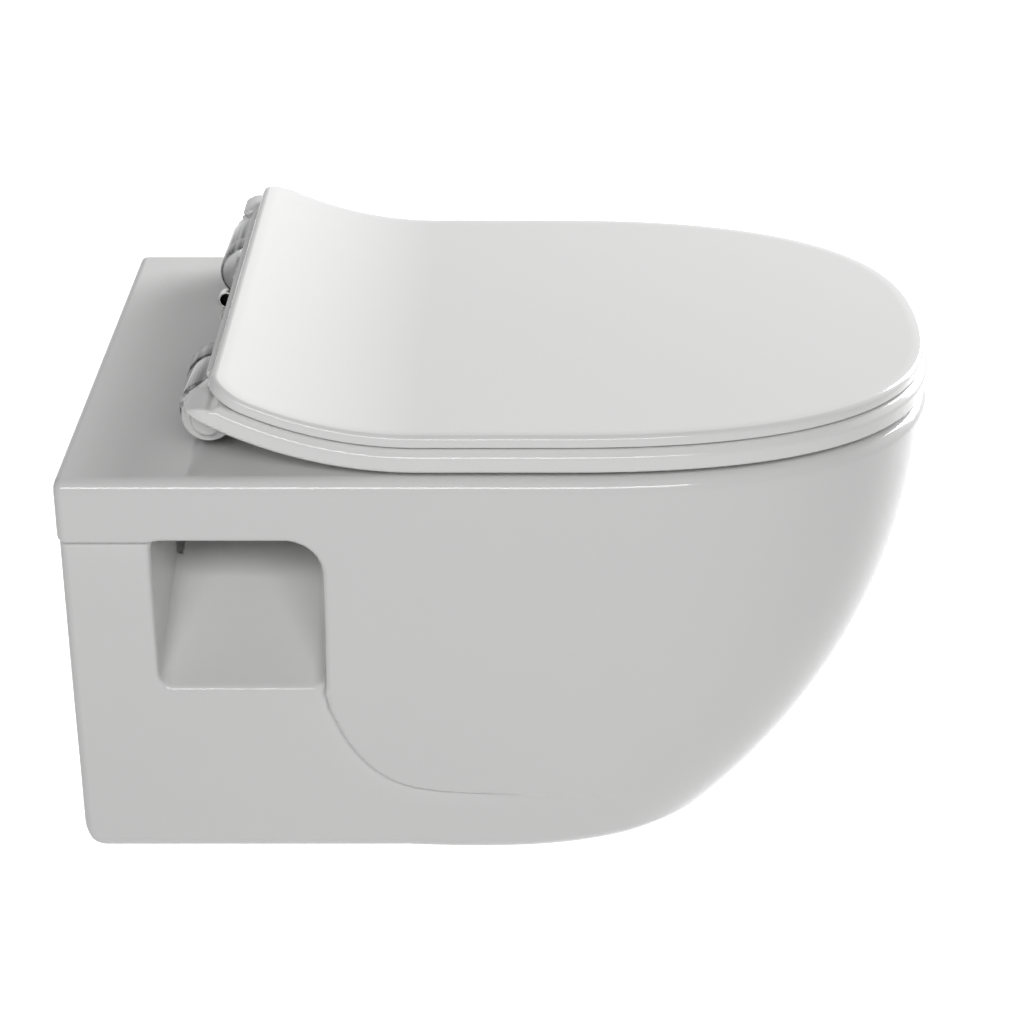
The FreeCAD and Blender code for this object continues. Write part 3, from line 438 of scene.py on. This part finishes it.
def end_tree(geometry, material):
    """The last nodes of every tree: instances become mesh and take their material."""
    real = geometry.node("GeometryNodeRealizeInstances", None, {"Geometry": geometry})
    done = real.node("GeometryNodeSetMaterial", None, {"Geometry": real, "Material": material})
    exit_node = done.tree.nodes.new("NodeGroupOutput")
    done.tree.links.new(done.socket, exit_node.inputs[0])


def grown(name, tree, sizes, start=()):
    """The plain mesh that a tree gives with these sizes, from a few start points."""
    mesh = bpy.data.meshes.new(name)
    mesh.from_pydata(list(start), [], [])
    piece = add_piece(name, mesh)
    modifier = piece.modifiers.new("grown", "NODES")
    modifier.node_group = tree
    for socket in tree.interface.items_tree:
        if socket.in_out == "INPUT" and socket.name in sizes:
            modifier[socket.identifier] = sizes[socket.name]
    return settled(piece)


def ring_grid(root, around, rings):
    """A grid for a form drawn as rings: its mesh, and wires for the ring's number and the share round it."""
    grid = root.node("GeometryNodeMeshGrid", None, {"Vertices X": around, "Vertices Y": rings})
    index = root.node("GeometryNodeInputIndex")
    column = root.math("FLOOR", (index + 0.5) / rings)
    return grid, index - column * rings, column / (around - 1)


def clamped(wire):
    return wire.node("ShaderNodeClamp", None, {0: wire})


def shaped(grid, x, y, z):
    """Sets a grid's points in mm about the pan's own frame, then closes its seam and poles."""
    spot = x.node("ShaderNodeCombineXYZ", None, {0: x * 0.001, 1: y * 0.001, 2: z * 0.001})
    moved = grid.node("GeometryNodeSetPosition", None, {"Geometry": grid, "Position": spot})
    whole = moved.node("GeometryNodeMergeByDistance", None, {"Geometry": moved, "Distance": 1e-6})
    return whole.node("GeometryNodeSetShadeSmooth", None, {"Geometry": whole})


bolt_steel, shader, place = finish("bolt_steel", (0.60, 0.60, 0.60), 0.32, Metallic=1.0)
(0.26 + 0.16 * noise(place, 300, 3)).into(shader, "Roughness")
bump(noise(place, 900, 2, (1, 1, 8)), 0.00004, 0.5).into(shader, "Normal")

SCREW_AROUND, SCREW_RINGS = 37, 160
tree, size = geometry_tree("countersunk_screw", {
    "Length": "Float", "Radius": "Float", "Pitch": "Float", "Thread Depth": "Float", "Thread End": "Float",
    "Head Height": "Float", "Head Rise": "Float", "Socket Radius": "Float", "Socket Depth": "Float",
    "Across": "Float", "Reach": "Float", "Tip Height": "Float", "Material": "Material"})
root = size["Length"]
grid, ring, share = ring_grid(root, SCREW_AROUND, SCREW_RINGS + 5)
turn = share * math.tau
up = size["Length"] * clamped((ring - 1) / SCREW_RINGS)
wave = root.math("PINGPONG", share - up / size["Pitch"] + 100, 0.5) * 2
depth = size["Thread Depth"] * wave * clamped((size["Thread End"] - up) / 2)
head = size["Head Rise"] * clamped((up - size["Length"] + size["Head Height"]) / size["Head Height"])
side = size["Radius"] - depth - 0.6 * clamped(1 - up / 0.6) + head
into_socket, down, to_middle = (clamped(ring - SCREW_RINGS - k) for k in (1, 2, 3))
from_flat = root.math("MODULO", turn, math.tau / 6) - math.tau / 12
hexagon = size["Socket Radius"] * 0.9 / root.math("COSINE", from_flat)
radius = (side * (1 - into_socket) + hexagon * into_socket * (1 - to_middle)) * clamped(ring)
end_tree(shaped(
    grid, size["Across"] + radius * root.math("COSINE", turn),
    radius * root.math("SINE", turn) - size["Reach"],
    size["Tip Height"] + up - size["Socket Depth"] * down), size["Material"])

for word, side in SIDES:
    screw = grown(f"hinge_screw_{word}", tree, {
        "Length": BOLT_LENGTH, "Radius": BOLT_RADIUS, "Pitch": 1.0, "Thread Depth": 0.45, "Thread End": 48.0,
        "Head Height": 2.8, "Head Rise": 2.8, "Socket Radius": 2.0, "Socket Depth": 2.0,
        "Across": side * BOLT_ACROSS, "Reach": float(HINGE_REACH),
        "Tip Height": DECK + BOLT_TOP - BOLT_LENGTH, "Material": bolt_steel})
    put_on(screw, bolt_steel, "pan_unit", "bolt_steel", f"hinge_bolt_{word}")


def softened(node, name, edge, angle=35):
    """A merged copy of a CAD piece whose sharp edges are rounded by this many mm."""
    mesh = nodes[node].data.copy()
    mesh.name = name
    work = bmesh.new()
    work.from_mesh(mesh)
    bmesh.ops.remove_doubles(work, verts=work.verts, dist=2e-6)
    bmesh.ops.dissolve_limit(work, angle_limit=math.radians(0.6), verts=work.verts, edges=work.edges)
    work.to_mesh(mesh)
    work.free()
    piece = add_piece(name, mesh)
    rounding = piece.modifiers.new("edges", "BEVEL")
    rounding.width, rounding.segments = edge / 1000, 3
    rounding.limit_method, rounding.angle_limit = "ANGLE", math.radians(angle)
    rounding.use_clamp_overlap = True
    settled(piece)
    piece.data.shade_smooth()
    piece.data.set_sharp_from_angle(angle=math.radians(40))
    return piece


rubber, shader, place = finish("black_rubber", (0.035, 0.035, 0.036), 0.75)
tint(noise(place, 120, 3), (0.028, 0.028, 0.029), (0.050, 0.050, 0.050)).into(shader, "Base Color")
bump(noise(place, 1500, 2), 0.00005, 0.6).into(shader, "Normal")

nylon, shader, place = finish("natural_nylon", (0.80, 0.80, 0.77), 0.42)
tint(noise(place, 60, 2), (0.78, 0.78, 0.75), (0.82, 0.82, 0.80)).into(shader, "Base Color")
bump(noise(place, 1200, 2), 0.00003, 0.5).into(shader, "Normal")

stamped_steel, shader, place = finish("stamped_steel", (0.62, 0.62, 0.61), 0.34, Metallic=1.0)
# The steel inside the rolled eye's bore is painted near-black: painted shade in the hole.
EYE_PLACE, SHADED_BORE_RADIUS = (0.0, -0.0688, 0.086), 0.0042
from_eye = place.node("ShaderNodeVectorMath", {"operation": "SUBTRACT"}, {0: place, 1: EYE_PLACE})
from_eye = from_eye.node("ShaderNodeVectorMath", {"operation": "MULTIPLY"}, {0: from_eye, 1: (0, 1, 1)})
away = from_eye.node("ShaderNodeVectorMath", {"operation": "LENGTH"}, {0: from_eye}, "Value")
tint(clamped((away - SHADED_BORE_RADIUS) * 5000), (0.01, 0.01, 0.01), (0.62, 0.62, 0.61)).into(shader, "Base Color")
(0.26 + 0.2 * noise(place, 260, 3, (0.15, 1, 1))).into(shader, "Roughness")
bump(noise(place, 2400, 2, (0.05, 1, 1)), 0.00002, 0.5).into(shader, "Normal")

for word, side in SIDES:
    for part, edge, material, slot in (
            ("plate_gasket", 0.3, rubber, "rubber"), ("hinge_plate", 0.35, stamped_steel, "plate_steel"),
            ("cone_washer", 0.4, rubber, "rubber"), ("wing_nut", 0.9, nylon, "nut_plastic")):
        piece = softened(f"{part}_{word}", f"{part}_{word}_made", edge)
        put_on(piece, material, "pan_unit", slot, f"{part}_{word}")


# ---- hinges that lift off ------------------------------------------------------------------------
# A die-cast cup drops on to the post, and a polished sleeve over its tail hides the damper. The round
# button in the cup's end is pressed against a small coil spring, which moves its latch off the post.

CUP_FACE = 0.0803


def polish_marks_and_reflections(place):
    """Streaks along the hinge line, from 0 to 1: partly polishing marks, partly painted streaky reflections
    where they tint the colour.
    """
    return clamped((noise(place, 260, 3, (0.04, 1, 1)) - 0.36) / 0.28)


cast_metal, shader, place = finish("die_cast_satin", (0.45, 0.45, 0.45), 0.28, Metallic=0.9)
sideways = place.math("ABSOLUTE", place.node("ShaderNodeSeparateXYZ", None, {0: place}, "X"))
# Outside the cup's end face the metal is painted dark, 0.08 to 0.24, with streaks along the hinge line:
# painted shade and painted streaky reflection. The end face keeps a plain light satin tone.
painted_shade_streaks = tint(polish_marks_and_reflections(place), (0.08, 0.08, 0.082), (0.24, 0.24, 0.243))
face = clamped((CUP_FACE - sideways) * 2000 + 0.5)
face.node("ShaderNodeMix", {"data_type": "RGBA"}, {0: face, 6: painted_shade_streaks, 7: (0.50, 0.50, 0.505, 1)}, 2).into(
    shader, "Base Color")
bump(noise(place, 1600, 2), 0.00002, 0.5).into(shader, "Normal")

# The sleeve chrome is painted dark, and streaks along the hinge line swing it from 0.09 to 0.34: painted
# dark reflections and painted streaky reflections.
chrome, shader, place = finish("polished_chrome", (0.25, 0.25, 0.255), 0.10, Metallic=1.0)
tint(polish_marks_and_reflections(place), (0.09, 0.09, 0.092), (0.34, 0.34, 0.345)).into(shader, "Base Color")
(0.05 + 0.07 * noise(place, 140, 3)).into(shader, "Roughness")
bump(noise(place, 60, 1), 0.00005, 0.3).into(shader, "Normal")

button_chrome, shader, place = finish("button_chrome", (0.64, 0.64, 0.64), 0.12, Metallic=1.0)
(0.10 + 0.08 * noise(place, 300, 3)).into(shader, "Roughness")
bump(noise(place, 2000, 1, (0.05, 1, 1)), 0.00001, 0.4).into(shader, "Normal")

damper_plastic, shader, place = finish("dark_damper_plastic", (0.16, 0.16, 0.17), 0.45)
bump(noise(place, 1400, 2), 0.00002, 0.5).into(shader, "Normal")
(0.38 + 0.14 * noise(place, 200, 2)).into(shader, "Roughness")

acetal, shader, place = finish("grey_acetal", (0.70, 0.70, 0.68), 0.35)
(0.30 + 0.12 * noise(place, 300, 2)).into(shader, "Roughness")
bump(noise(place, 1600, 2, (0.1, 1, 1)), 0.00002, 0.4).into(shader, "Normal")

white_acetal, shader, place = finish("white_acetal", (0.80, 0.80, 0.78), 0.35)
(0.30 + 0.12 * noise(place, 300, 2)).into(shader, "Roughness")
bump(noise(place, 1600, 2), 0.00002, 0.4).into(shader, "Normal")

spring_wire, shader, place = finish("spring_wire", (0.55, 0.55, 0.56), 0.25, Metallic=1.0)
(0.20 + 0.14 * noise(place, 700, 2)).into(shader, "Roughness")
bump(noise(place, 3000, 2), 0.00001, 0.4).into(shader, "Normal")

tree, size = geometry_tree("coil_spring", {
    "Turns": "Float", "Length": "Float", "Radius": "Float", "Wire Radius": "Float", "Start": "Vector",
    "Turned": "Rotation", "Material": "Material"})
root = size["Turns"]
coil = root.node("GeometryNodeCurveSpiral", None, {
    "Resolution": 28, "Rotations": size["Turns"], "Start Radius": size["Radius"],
    "End Radius": size["Radius"], "Height": size["Length"]})
section = root.node("GeometryNodeCurvePrimitiveCircle", None, {
    "Resolution": 10, "Radius": size["Wire Radius"]})
wound = coil.node("GeometryNodeCurveToMesh", None, {
    "Curve": coil, "Profile Curve": section, "Fill Caps": True})
turned = wound.node("GeometryNodeTransform", None, {
    "Geometry": wound, "Translation": size["Start"], "Rotation": size["Turned"]})
smooth = turned.node("GeometryNodeSetShadeSmooth", None, {"Geometry": turned})
end_tree(smooth, size["Material"])

SPRING_START, SPRING_END = 0.0925, 0.1025
for word, side in SIDES:
    spring = grown(f"latch_spring_{word}", tree, {
        "Turns": 6.0, "Length": SPRING_END - SPRING_START, "Radius": 0.0027, "Wire Radius": 0.00035,
        "Start": (side * SPRING_START, -HINGE_REACH / 1000, (DECK + HINGE_HEIGHT) / 1000),
        "Turned": (0.0, side * math.pi / 2, 0.0), "Material": spring_wire})
    put_on(spring, spring_wire, "hinge_unit", "spring_steel", f"button_spring_{word}")
    side * SPRING_END
    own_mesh(spring)
    for part, edge, material, slot, body in (
            ("hinge_foot", 0.5, cast_metal, "foot_metal", "hinge_unit"),
            ("hinge_barrel", 0.6, chrome, "hinge_chrome", "hinge_unit"),
            ("release_button", 0.5, button_chrome, "button_chrome", f"button_{word}")):
        piece = softened(f"{part}_{word}", f"{part}_{word}_made", edge)
        put_on(piece, material, body, slot, f"{part}_{word}")
for part, material, slot, body in (
        ("seat_damper_case", damper_plastic, "damper_plastic", "hinge_unit"),
        ("lid_damper_case", damper_plastic, "damper_plastic", "hinge_unit"),
        ("seat_damper_shaft", acetal, "shaft_plastic", "seat_unit"),
        ("lid_damper_shaft", acetal, "shaft_plastic", "lid_unit"),
        ("seat_bush", white_acetal, "bush_plastic", "seat_unit"),
        ("lid_bush", white_acetal, "bush_plastic", "lid_unit")):
    put_on(softened(part, f"{part}_made", 0.25), material, body, slot, part)


# ---- seat ----------------------------------------------------------------------------------------
# One moulded thermoset ring. Its rear rail arches over the hinge sleeves, and each rear corner is an
# ear with a knuckle on the hinge line. White elastomer buffers under it carry it off the china.

SEAT_REACH, SEAT_HALF_WIDTH, SEAT_REAR = 501, 184, 66
OPENING_MIDDLE, OPENING_LENGTH, OPENING_WIDTH, OPENING_FULLNESS = 306, 140, 113, 2.25  # half sizes
KICK_START, KICK_MIDDLE = 200, 250.5
SEAT_TOP_KICK, SEAT_UNDER_KICK, LID_KICK = 233.5, 246, 225.0
LUG_MIDDLE, LUG_RADIUS = 145.85, 14.5
KNUCKLE_MIDDLE, KNUCKLE_HALF, KNUCKLE_RADIUS = 154.85, 3.15, 8.5


def above_kick(s, h, radius):
    """Distance above a level face that curls up at the rear, on a circle of this radius."""
    return radius - np.hypot(np.maximum(KICK_START - s, 0), KICK_MIDDLE - h)


def on_arc(radius, first, last, steps=14):
    """Side-view points on an arc about the hinge line, 0 degrees to the front and 90 upwards."""
    turns = np.radians(np.linspace(first, last, steps + 1))
    return [(HINGE_REACH + radius * math.cos(t), HINGE_HEIGHT + radius * math.sin(t)) for t in turns]


RAIL_ROOM = [(20, -12), (100.9, -12)] + on_arc(17.9, 4.4, 93) + on_arc(60, 93, 120, 2) + [(20, 90)]
LUG_ROOM = [(20, -12), (101.5, -12), (101.5, 90), (20, 90)]
EAR_ROOM = [(20, -12), (80, -12), (80, 35.75)] + on_arc(18.5, 141, 70) + [(93, 43), (93, 90), (20, 90)]
KNUCKLE_WEB = [(76, 22), (91, 24), (98, 33), (73, 38)]


def seat_form(s, x, h):
    w = np.abs(x)
    plan = meet(round_front(s, w, SEAT_REACH, SEAT_HALF_WIDTH, 2.5), SEAT_REAR - s, 20)
    along, beside, full = np.abs(s - OPENING_MIDDLE) / OPENING_LENGTH, w / OPENING_WIDTH, OPENING_FULLNESS
    size = np.maximum((along ** full + beside ** full) ** (1 / full), 1e-3)
    slope = np.hypot(
        (along / size) ** (full - 1) / OPENING_LENGTH, (beside / size) ** (full - 1) / OPENING_WIDTH)
    opening = (size - 1) / slope
    above = above_kick(s, h, SEAT_TOP_KICK)
    body = meet(meet(plan, above, 0.5), (plan + above + 3.6) * 0.7071, 0.8)
    body = meet(body, -above_kick(s, h, SEAT_UNDER_KICK), 1.3)
    body = cut(body, opening, 3.5)
    from_hinge = np.hypot(s - HINGE_REACH, h - HINGE_HEIGHT)
    over_rail = meet(22.4 - from_hinge, s - 87.3, 0.5)
    room = meet(np.minimum(side_view(s, h, RAIL_ROOM), over_rail), w - 140.2, 0.4)
    lug_room = meet(side_view(s, h, LUG_ROOM), np.abs(w - LUG_MIDDLE) - 5.85, 0.4)
    ear_room = meet(side_view(s, h, EAR_ROOM), 151.5 - w, 0.4)
    room = np.minimum(np.minimum(room, lug_room), ear_room)
    body = cut(body, room, 1.2)
    hung = join(from_hinge - KNUCKLE_RADIUS, side_view(s, h, KNUCKLE_WEB), 2)
    body = join(body, meet(hung, np.abs(w - KNUCKLE_MIDDLE) - KNUCKLE_HALF, 0.8), 1)
    return cut(body, meet(from_hinge - 6, 150 - x, 0.3), 0.4)


polish, shader, place = finish("polished_white_plastic", (0.78, 0.78, 0.775), 0.14, Specular_IOR_Level=0.4)
tint(noise(place, 5, 2), (0.772, 0.772, 0.766), (0.788, 0.788, 0.784)).into(shader, "Base Color")
scuffs = noise(place, 900, 2, (0.04, 1, 1)) * noise(place, 12, 2)
(0.11 + 0.10 * scuffs).into(shader, "Roughness")
bump(noise(place, 500, 1) + 6 * noise(place, 14, 1), 0.00002, 0.6).into(shader, "Normal")

seat = cast("seat_ring", seat_form, (60, -188, 0), (506, 188, 52), 1.8, 170000)
put_on(seat, polish, "seat_unit", "seat_plastic", "seat")

elastomer, shader, place = finish("white_elastomer", (0.78, 0.78, 0.77), 0.55)
tint(noise(place, 200, 2), (0.76, 0.76, 0.75), (0.80, 0.80, 0.79)).into(shader, "Base Color")
bump(noise(place, 1500, 2), 0.00002, 0.5).into(shader, "Normal")

tree, size = geometry_tree("buffers", {
    "Radius": "Float", "Top": "Float", "Bottom": "Float", "Edge": "Float", "Material": "Material"})
root = size["Radius"]
EDGE_RINGS = 6
grid, ring, share = ring_grid(root, 49, EDGE_RINGS + 4)
bend = clamped((ring - 1) / EDGE_RINGS) * (math.pi / 2)
radius = size["Radius"] - size["Edge"] * (1 - root.math("SINE", bend))
radius = radius * clamped(ring) * (1 - clamped(ring - EDGE_RINGS - 2))
height = size["Bottom"] + size["Edge"] * (1 - root.math("COSINE", bend))
height = height + (size["Top"] - size["Bottom"] - size["Edge"]) * clamped(ring - EDGE_RINGS - 1)
turn = share * math.tau
dome = shaped(grid, radius * root.math("COSINE", turn), radius * root.math("SINE", turn), height)
spread = root.node("GeometryNodeInstanceOnPoints", None, {"Points": size["Geometry"], "Instance": dome})
end_tree(spread, size["Material"])
buffer_tree = tree

SEAT_BUFFERS = [(x / 1000, -s / 1000, DECK / 1000) for s, w in ((212, 150), (430, 128)) for x in (-w, w)]
buffers = grown("seat_buffers_made", buffer_tree, {
    "Radius": 7.0, "Top": 4.5, "Bottom": 0.3, "Edge": 1.8, "Material": elastomer}, SEAT_BUFFERS)
put_on(buffers, elastomer, "seat_unit", "buffer_rubber", "seat_buffers")


# ---- lid -----------------------------------------------------------------------------------------
# One slim plate of the same thermoset, 7 mm thick, level over the bowl and curled up over the hinges.
# A lug at each rear corner reaches down to the hinge line, and four thin buffers rest on the seat.

tree, size = geometry_tree("lid_plate", {
    "Tip": "Float", "Half Width": "Float", "Front Depth": "Float", "Fullness": "Float", "Rear": "Float",
    "Corner": "Float", "Top": "Float", "Thickness": "Float", "Kick Start": "Float", "Kick Radius": "Float",
    "Rim Round": "Float", "Crispness": "Float", "Under Round": "Float", "Middle": "Float",
    "Material": "Material"})
root = size["Tip"]
FRONT_POINTS = 121
points = root.node("GeometryNodeMeshLine", None, {"Count": FRONT_POINTS + 2})
number = root.node("GeometryNodeInputIndex")
rear = clamped(number - (FRONT_POINTS - 1))
swing = (number / (FRONT_POINTS - 1) - 0.5) * math.pi
sine, cosine = root.math("SINE", swing), root.math("MAXIMUM", root.math("COSINE", swing), 0.0)
power = 2 / size["Fullness"]
beside = root.math("SIGN", sine) * root.math("ABSOLUTE", sine) ** power
rear_side = 1 - 2 * clamped(number - FRONT_POINTS)
across = size["Half Width"] * (beside * (1 - rear) + rear_side * rear)
reach = (size["Tip"] - size["Front Depth"] + size["Front Depth"] * cosine ** power) * (1 - rear)
reach = reach + size["Rear"] * rear
spot = root.node("ShaderNodeCombineXYZ", None, {0: across, 1: 0 - reach})
drawn = points.node("GeometryNodeSetPosition", None, {"Geometry": points, "Position": spot})
line = drawn.node("GeometryNodeMeshToCurve", None, {"Mesh": drawn})
loop = line.node("GeometryNodeSetSplineCyclic", None, {"Geometry": line, "Cyclic": True})
outline = loop.node("GeometryNodeFilletCurve", {"mode": "POLY"}, {
    "Curve": loop, "Count": 12, "Radius": size["Corner"] * rear, "Limit Radius": True})

FLAT_RINGS, RIM_RINGS, UNDER_RINGS = 34, 6, 4
LAST_RING = 2 * FLAT_RINGS + RIM_RINGS + 1 + UNDER_RINGS
grid, ring, share = ring_grid(root, 401, LAST_RING + 1)
sampled = {"Curves": outline, "Factor": share}
curve_spot = outline.node("GeometryNodeSampleCurve", {"use_all_curves": True}, sampled, "Position")
way = Wire(curve_spot.tree, curve_spot.socket.node.outputs["Tangent"])
inwards = root.node("ShaderNodeVectorMath", {"operation": "CROSS_PRODUCT"}, {0: (0, 0, 1), 1: way})
bend = clamped((ring - FLAT_RINGS) / RIM_RINGS) * (math.pi / 2)
under = clamped(ring - FLAT_RINGS - RIM_RINGS)
curl = clamped((ring - FLAT_RINGS - RIM_RINGS - 1) / UNDER_RINGS) * (math.pi / 2)
inset = size["Rim Round"] * (1 - root.math("SINE", bend) ** size["Crispness"]) * (1 - under)
inset = inset + size["Under Round"] * (1 - root.math("COSINE", curl)) * under
fall = root.math("MAXIMUM", root.math("COSINE", bend), 0.0) ** size["Crispness"]
depth = size["Rim Round"] * (1 - fall) * (1 - under)
lower = size["Thickness"] - size["Under Round"] + size["Under Round"] * root.math("SINE", curl)
depth = depth + lower * under
offset = root.node("ShaderNodeVectorMath", {"operation": "SCALE"}, {0: inwards, "Scale": inset})
rim = root.node("ShaderNodeVectorMath", {"operation": "ADD"}, {0: curve_spot, 1: offset})
middle = root.node("ShaderNodeCombineXYZ", None, {1: 0 - size["Middle"]})
spread = clamped(ring / FLAT_RINGS) * clamped((LAST_RING - ring) / FLAT_RINGS)
plan = root.node("ShaderNodeMix", {"data_type": "VECTOR"}, {0: spread, 4: middle, 5: rim}, 1)
plan_x = root.node("ShaderNodeSeparateXYZ", None, {0: plan})
plan_y = Wire(tree, plan_x.socket.node.outputs[1])
run = root.math("MAXIMUM", size["Kick Start"] + plan_y, 0.0)
slant = run / size["Kick Radius"]
level = root.math("SQRT", 1 - slant * slant)
rise = size["Top"] + size["Kick Radius"] - (size["Kick Radius"] + depth) * level
end_tree(shaped(grid, plan_x, plan_y + slant * depth, rise + DECK), size["Material"])

lid = grown("lid_plate", tree, {
    "Tip": 498.0, "Half Width": 182.0, "Front Depth": float(FRONT_DEPTH), "Fullness": 2.5, "Rear": 89.0,
    "Corner": 20.0, "Top": 25.5, "Thickness": 7.0, "Kick Start": float(KICK_START), "Kick Radius": LID_KICK,
    "Rim Round": 2.2, "Crispness": 1.48, "Under Round": 1.0, "Middle": 290.0, "Material": polish})

LUG_WEB = [(71, 33), (90, 49), (99.5, 44), (98, 24)]


def lug_form(s, x, h):
    """A lug of the lid with its bore: the lid's shaft is keyed in the right one, a bush fills the left."""
    from_hinge = np.hypot(s - HINGE_REACH, h - HINGE_HEIGHT)
    flat = join(from_hinge - LUG_RADIUS, side_view(s, h, LUG_WEB), 3)
    aside = np.abs(np.abs(x) - LUG_MIDDLE)
    body = meet(flat, aside - 5.35, 0.8)
    return cut(body, meet(from_hinge - np.where(x < 0, 6.0, 4.0), aside - 9, 0.2), 0.3)


for word, side in SIDES:
    span = sorted((side * 138, side * 154))
    lug = cast(f"lid_lug_{word}", lug_form, (64, span[0], 6), (103, span[1], 52), 1.0, 9000)
    union = lid.modifiers.new("union", "BOOLEAN")
    union.operation, union.solver, union.object = "UNION", "EXACT", lug
    settled(lid)
    bpy.data.objects.remove(lug)
lid.data.shade_smooth()
lid.data.set_sharp_from_angle(angle=math.radians(50))
put_on(lid, polish, "lid_unit", "seat_plastic", "lid")

LID_BUFFERS = [(x / 1000, -s / 1000, DECK / 1000) for s, w in ((300, 150), (440, 118)) for x in (-w, w)]
buffers = grown("lid_buffers_made", buffer_tree, {
    "Radius": 7.0, "Top": 18.5, "Bottom": 17.3, "Edge": 0.6, "Material": elastomer}, LID_BUFFERS)
put_on(buffers, elastomer, "lid_unit", "buffer_rubber", "lid_buffers")


# ---- studio --------------------------------------------------------------------------------------
# Not part of the object: the camera at the photograph's angle, two broad soft lamps, a faint even
# light all round, and a plain pale floor, low enough to lie out of the picture with its shadow.

camera = bpy.data.objects.new("camera", bpy.data.cameras.new("camera"))
camera.location = (-1.4096, -0.2514, 0.6460)
camera.rotation_euler = Vector((0.90259, 0, -0.43051)).to_track_quat("-Z", "Y").to_euler()
camera.data.lens, camera.data.sensor_width = 87.07, 36
camera.data.clip_end = 50
bpy.context.scene.collection.objects.link(camera)
bpy.context.scene.camera = camera
bpy.context.scene.view_settings.view_transform = "Standard"

LAMPS = {  # place, the width and height of its panel, and power in watts
    "over_the_camera": ((-2.27, -0.25, 1.4), 2.0, 0.5, 39),
    "far_front": ((2.0, -2.1, 1.1), 1.5, 1.5, 124),
}
AIM, FLOOR_LEVEL, FLOOR_HALF = Vector((0, -0.25, 0)), -0.62, 6
for name, (spot, width, height, power) in LAMPS.items():
    lamp = bpy.data.lights.new(name, "AREA")
    lamp.shape, lamp.size, lamp.size_y, lamp.energy = "RECTANGLE", width, height, power
    hung = bpy.data.objects.new(name, lamp)
    hung.location = spot
    hung.rotation_euler = (AIM - Vector(spot)).to_track_quat("-Z", "Y").to_euler()
    bpy.context.scene.collection.objects.link(hung)


def background_rays(root):
    """1 for the rays that see the background itself: the camera's, and those off metal or through glass."""
    seen = root.node("ShaderNodeLightPath", out="Is Camera Ray")
    path = seen.socket.node.outputs
    glossy, through = (Wire(root.tree, path[name]) for name in ("Is Glossy Ray", "Is Transmission Ray"))
    return clamped(seen + glossy + through)


world = bpy.data.worlds.new("studio")
world.use_nodes = True
seen = background_rays(Wire(world.node_tree))
faint = seen.node("ShaderNodeBackground", None, {"Color": (0.08, 0.08, 0.08, 1)})
white = seen.node("ShaderNodeBackground", None, {"Color": (1, 1, 1, 1)})
around = seen.node("ShaderNodeMixShader", None, {0: seen, 1: faint, 2: white})
around.into(world.node_tree.nodes["World Output"], "Surface")
bpy.context.scene.world = world

floor = bpy.data.meshes.new("floor")
corners = [(-1, -1), (1, -1), (1, 1), (-1, 1)]
floor.from_pydata([(FLOOR_HALF * x, FLOOR_HALF * y, FLOOR_LEVEL) for x, y in corners], [], [(0, 1, 2, 3)])
FLOOR_GLOW = 0.95
paint, shader, place = finish("floor_paint", (0.70, 0.70, 0.70), 0.9)
glow = place.node("ShaderNodeEmission", None, {"Strength": FLOOR_GLOW * background_rays(place)})
lit = place.node("ShaderNodeAddShader", None, {0: Wire(paint.node_tree, shader.outputs[0]), 1: glow})
lit.into(paint.node_tree.nodes["Material Output"], "Surface")
floor.materials.append(paint)
add_piece("floor", floor)
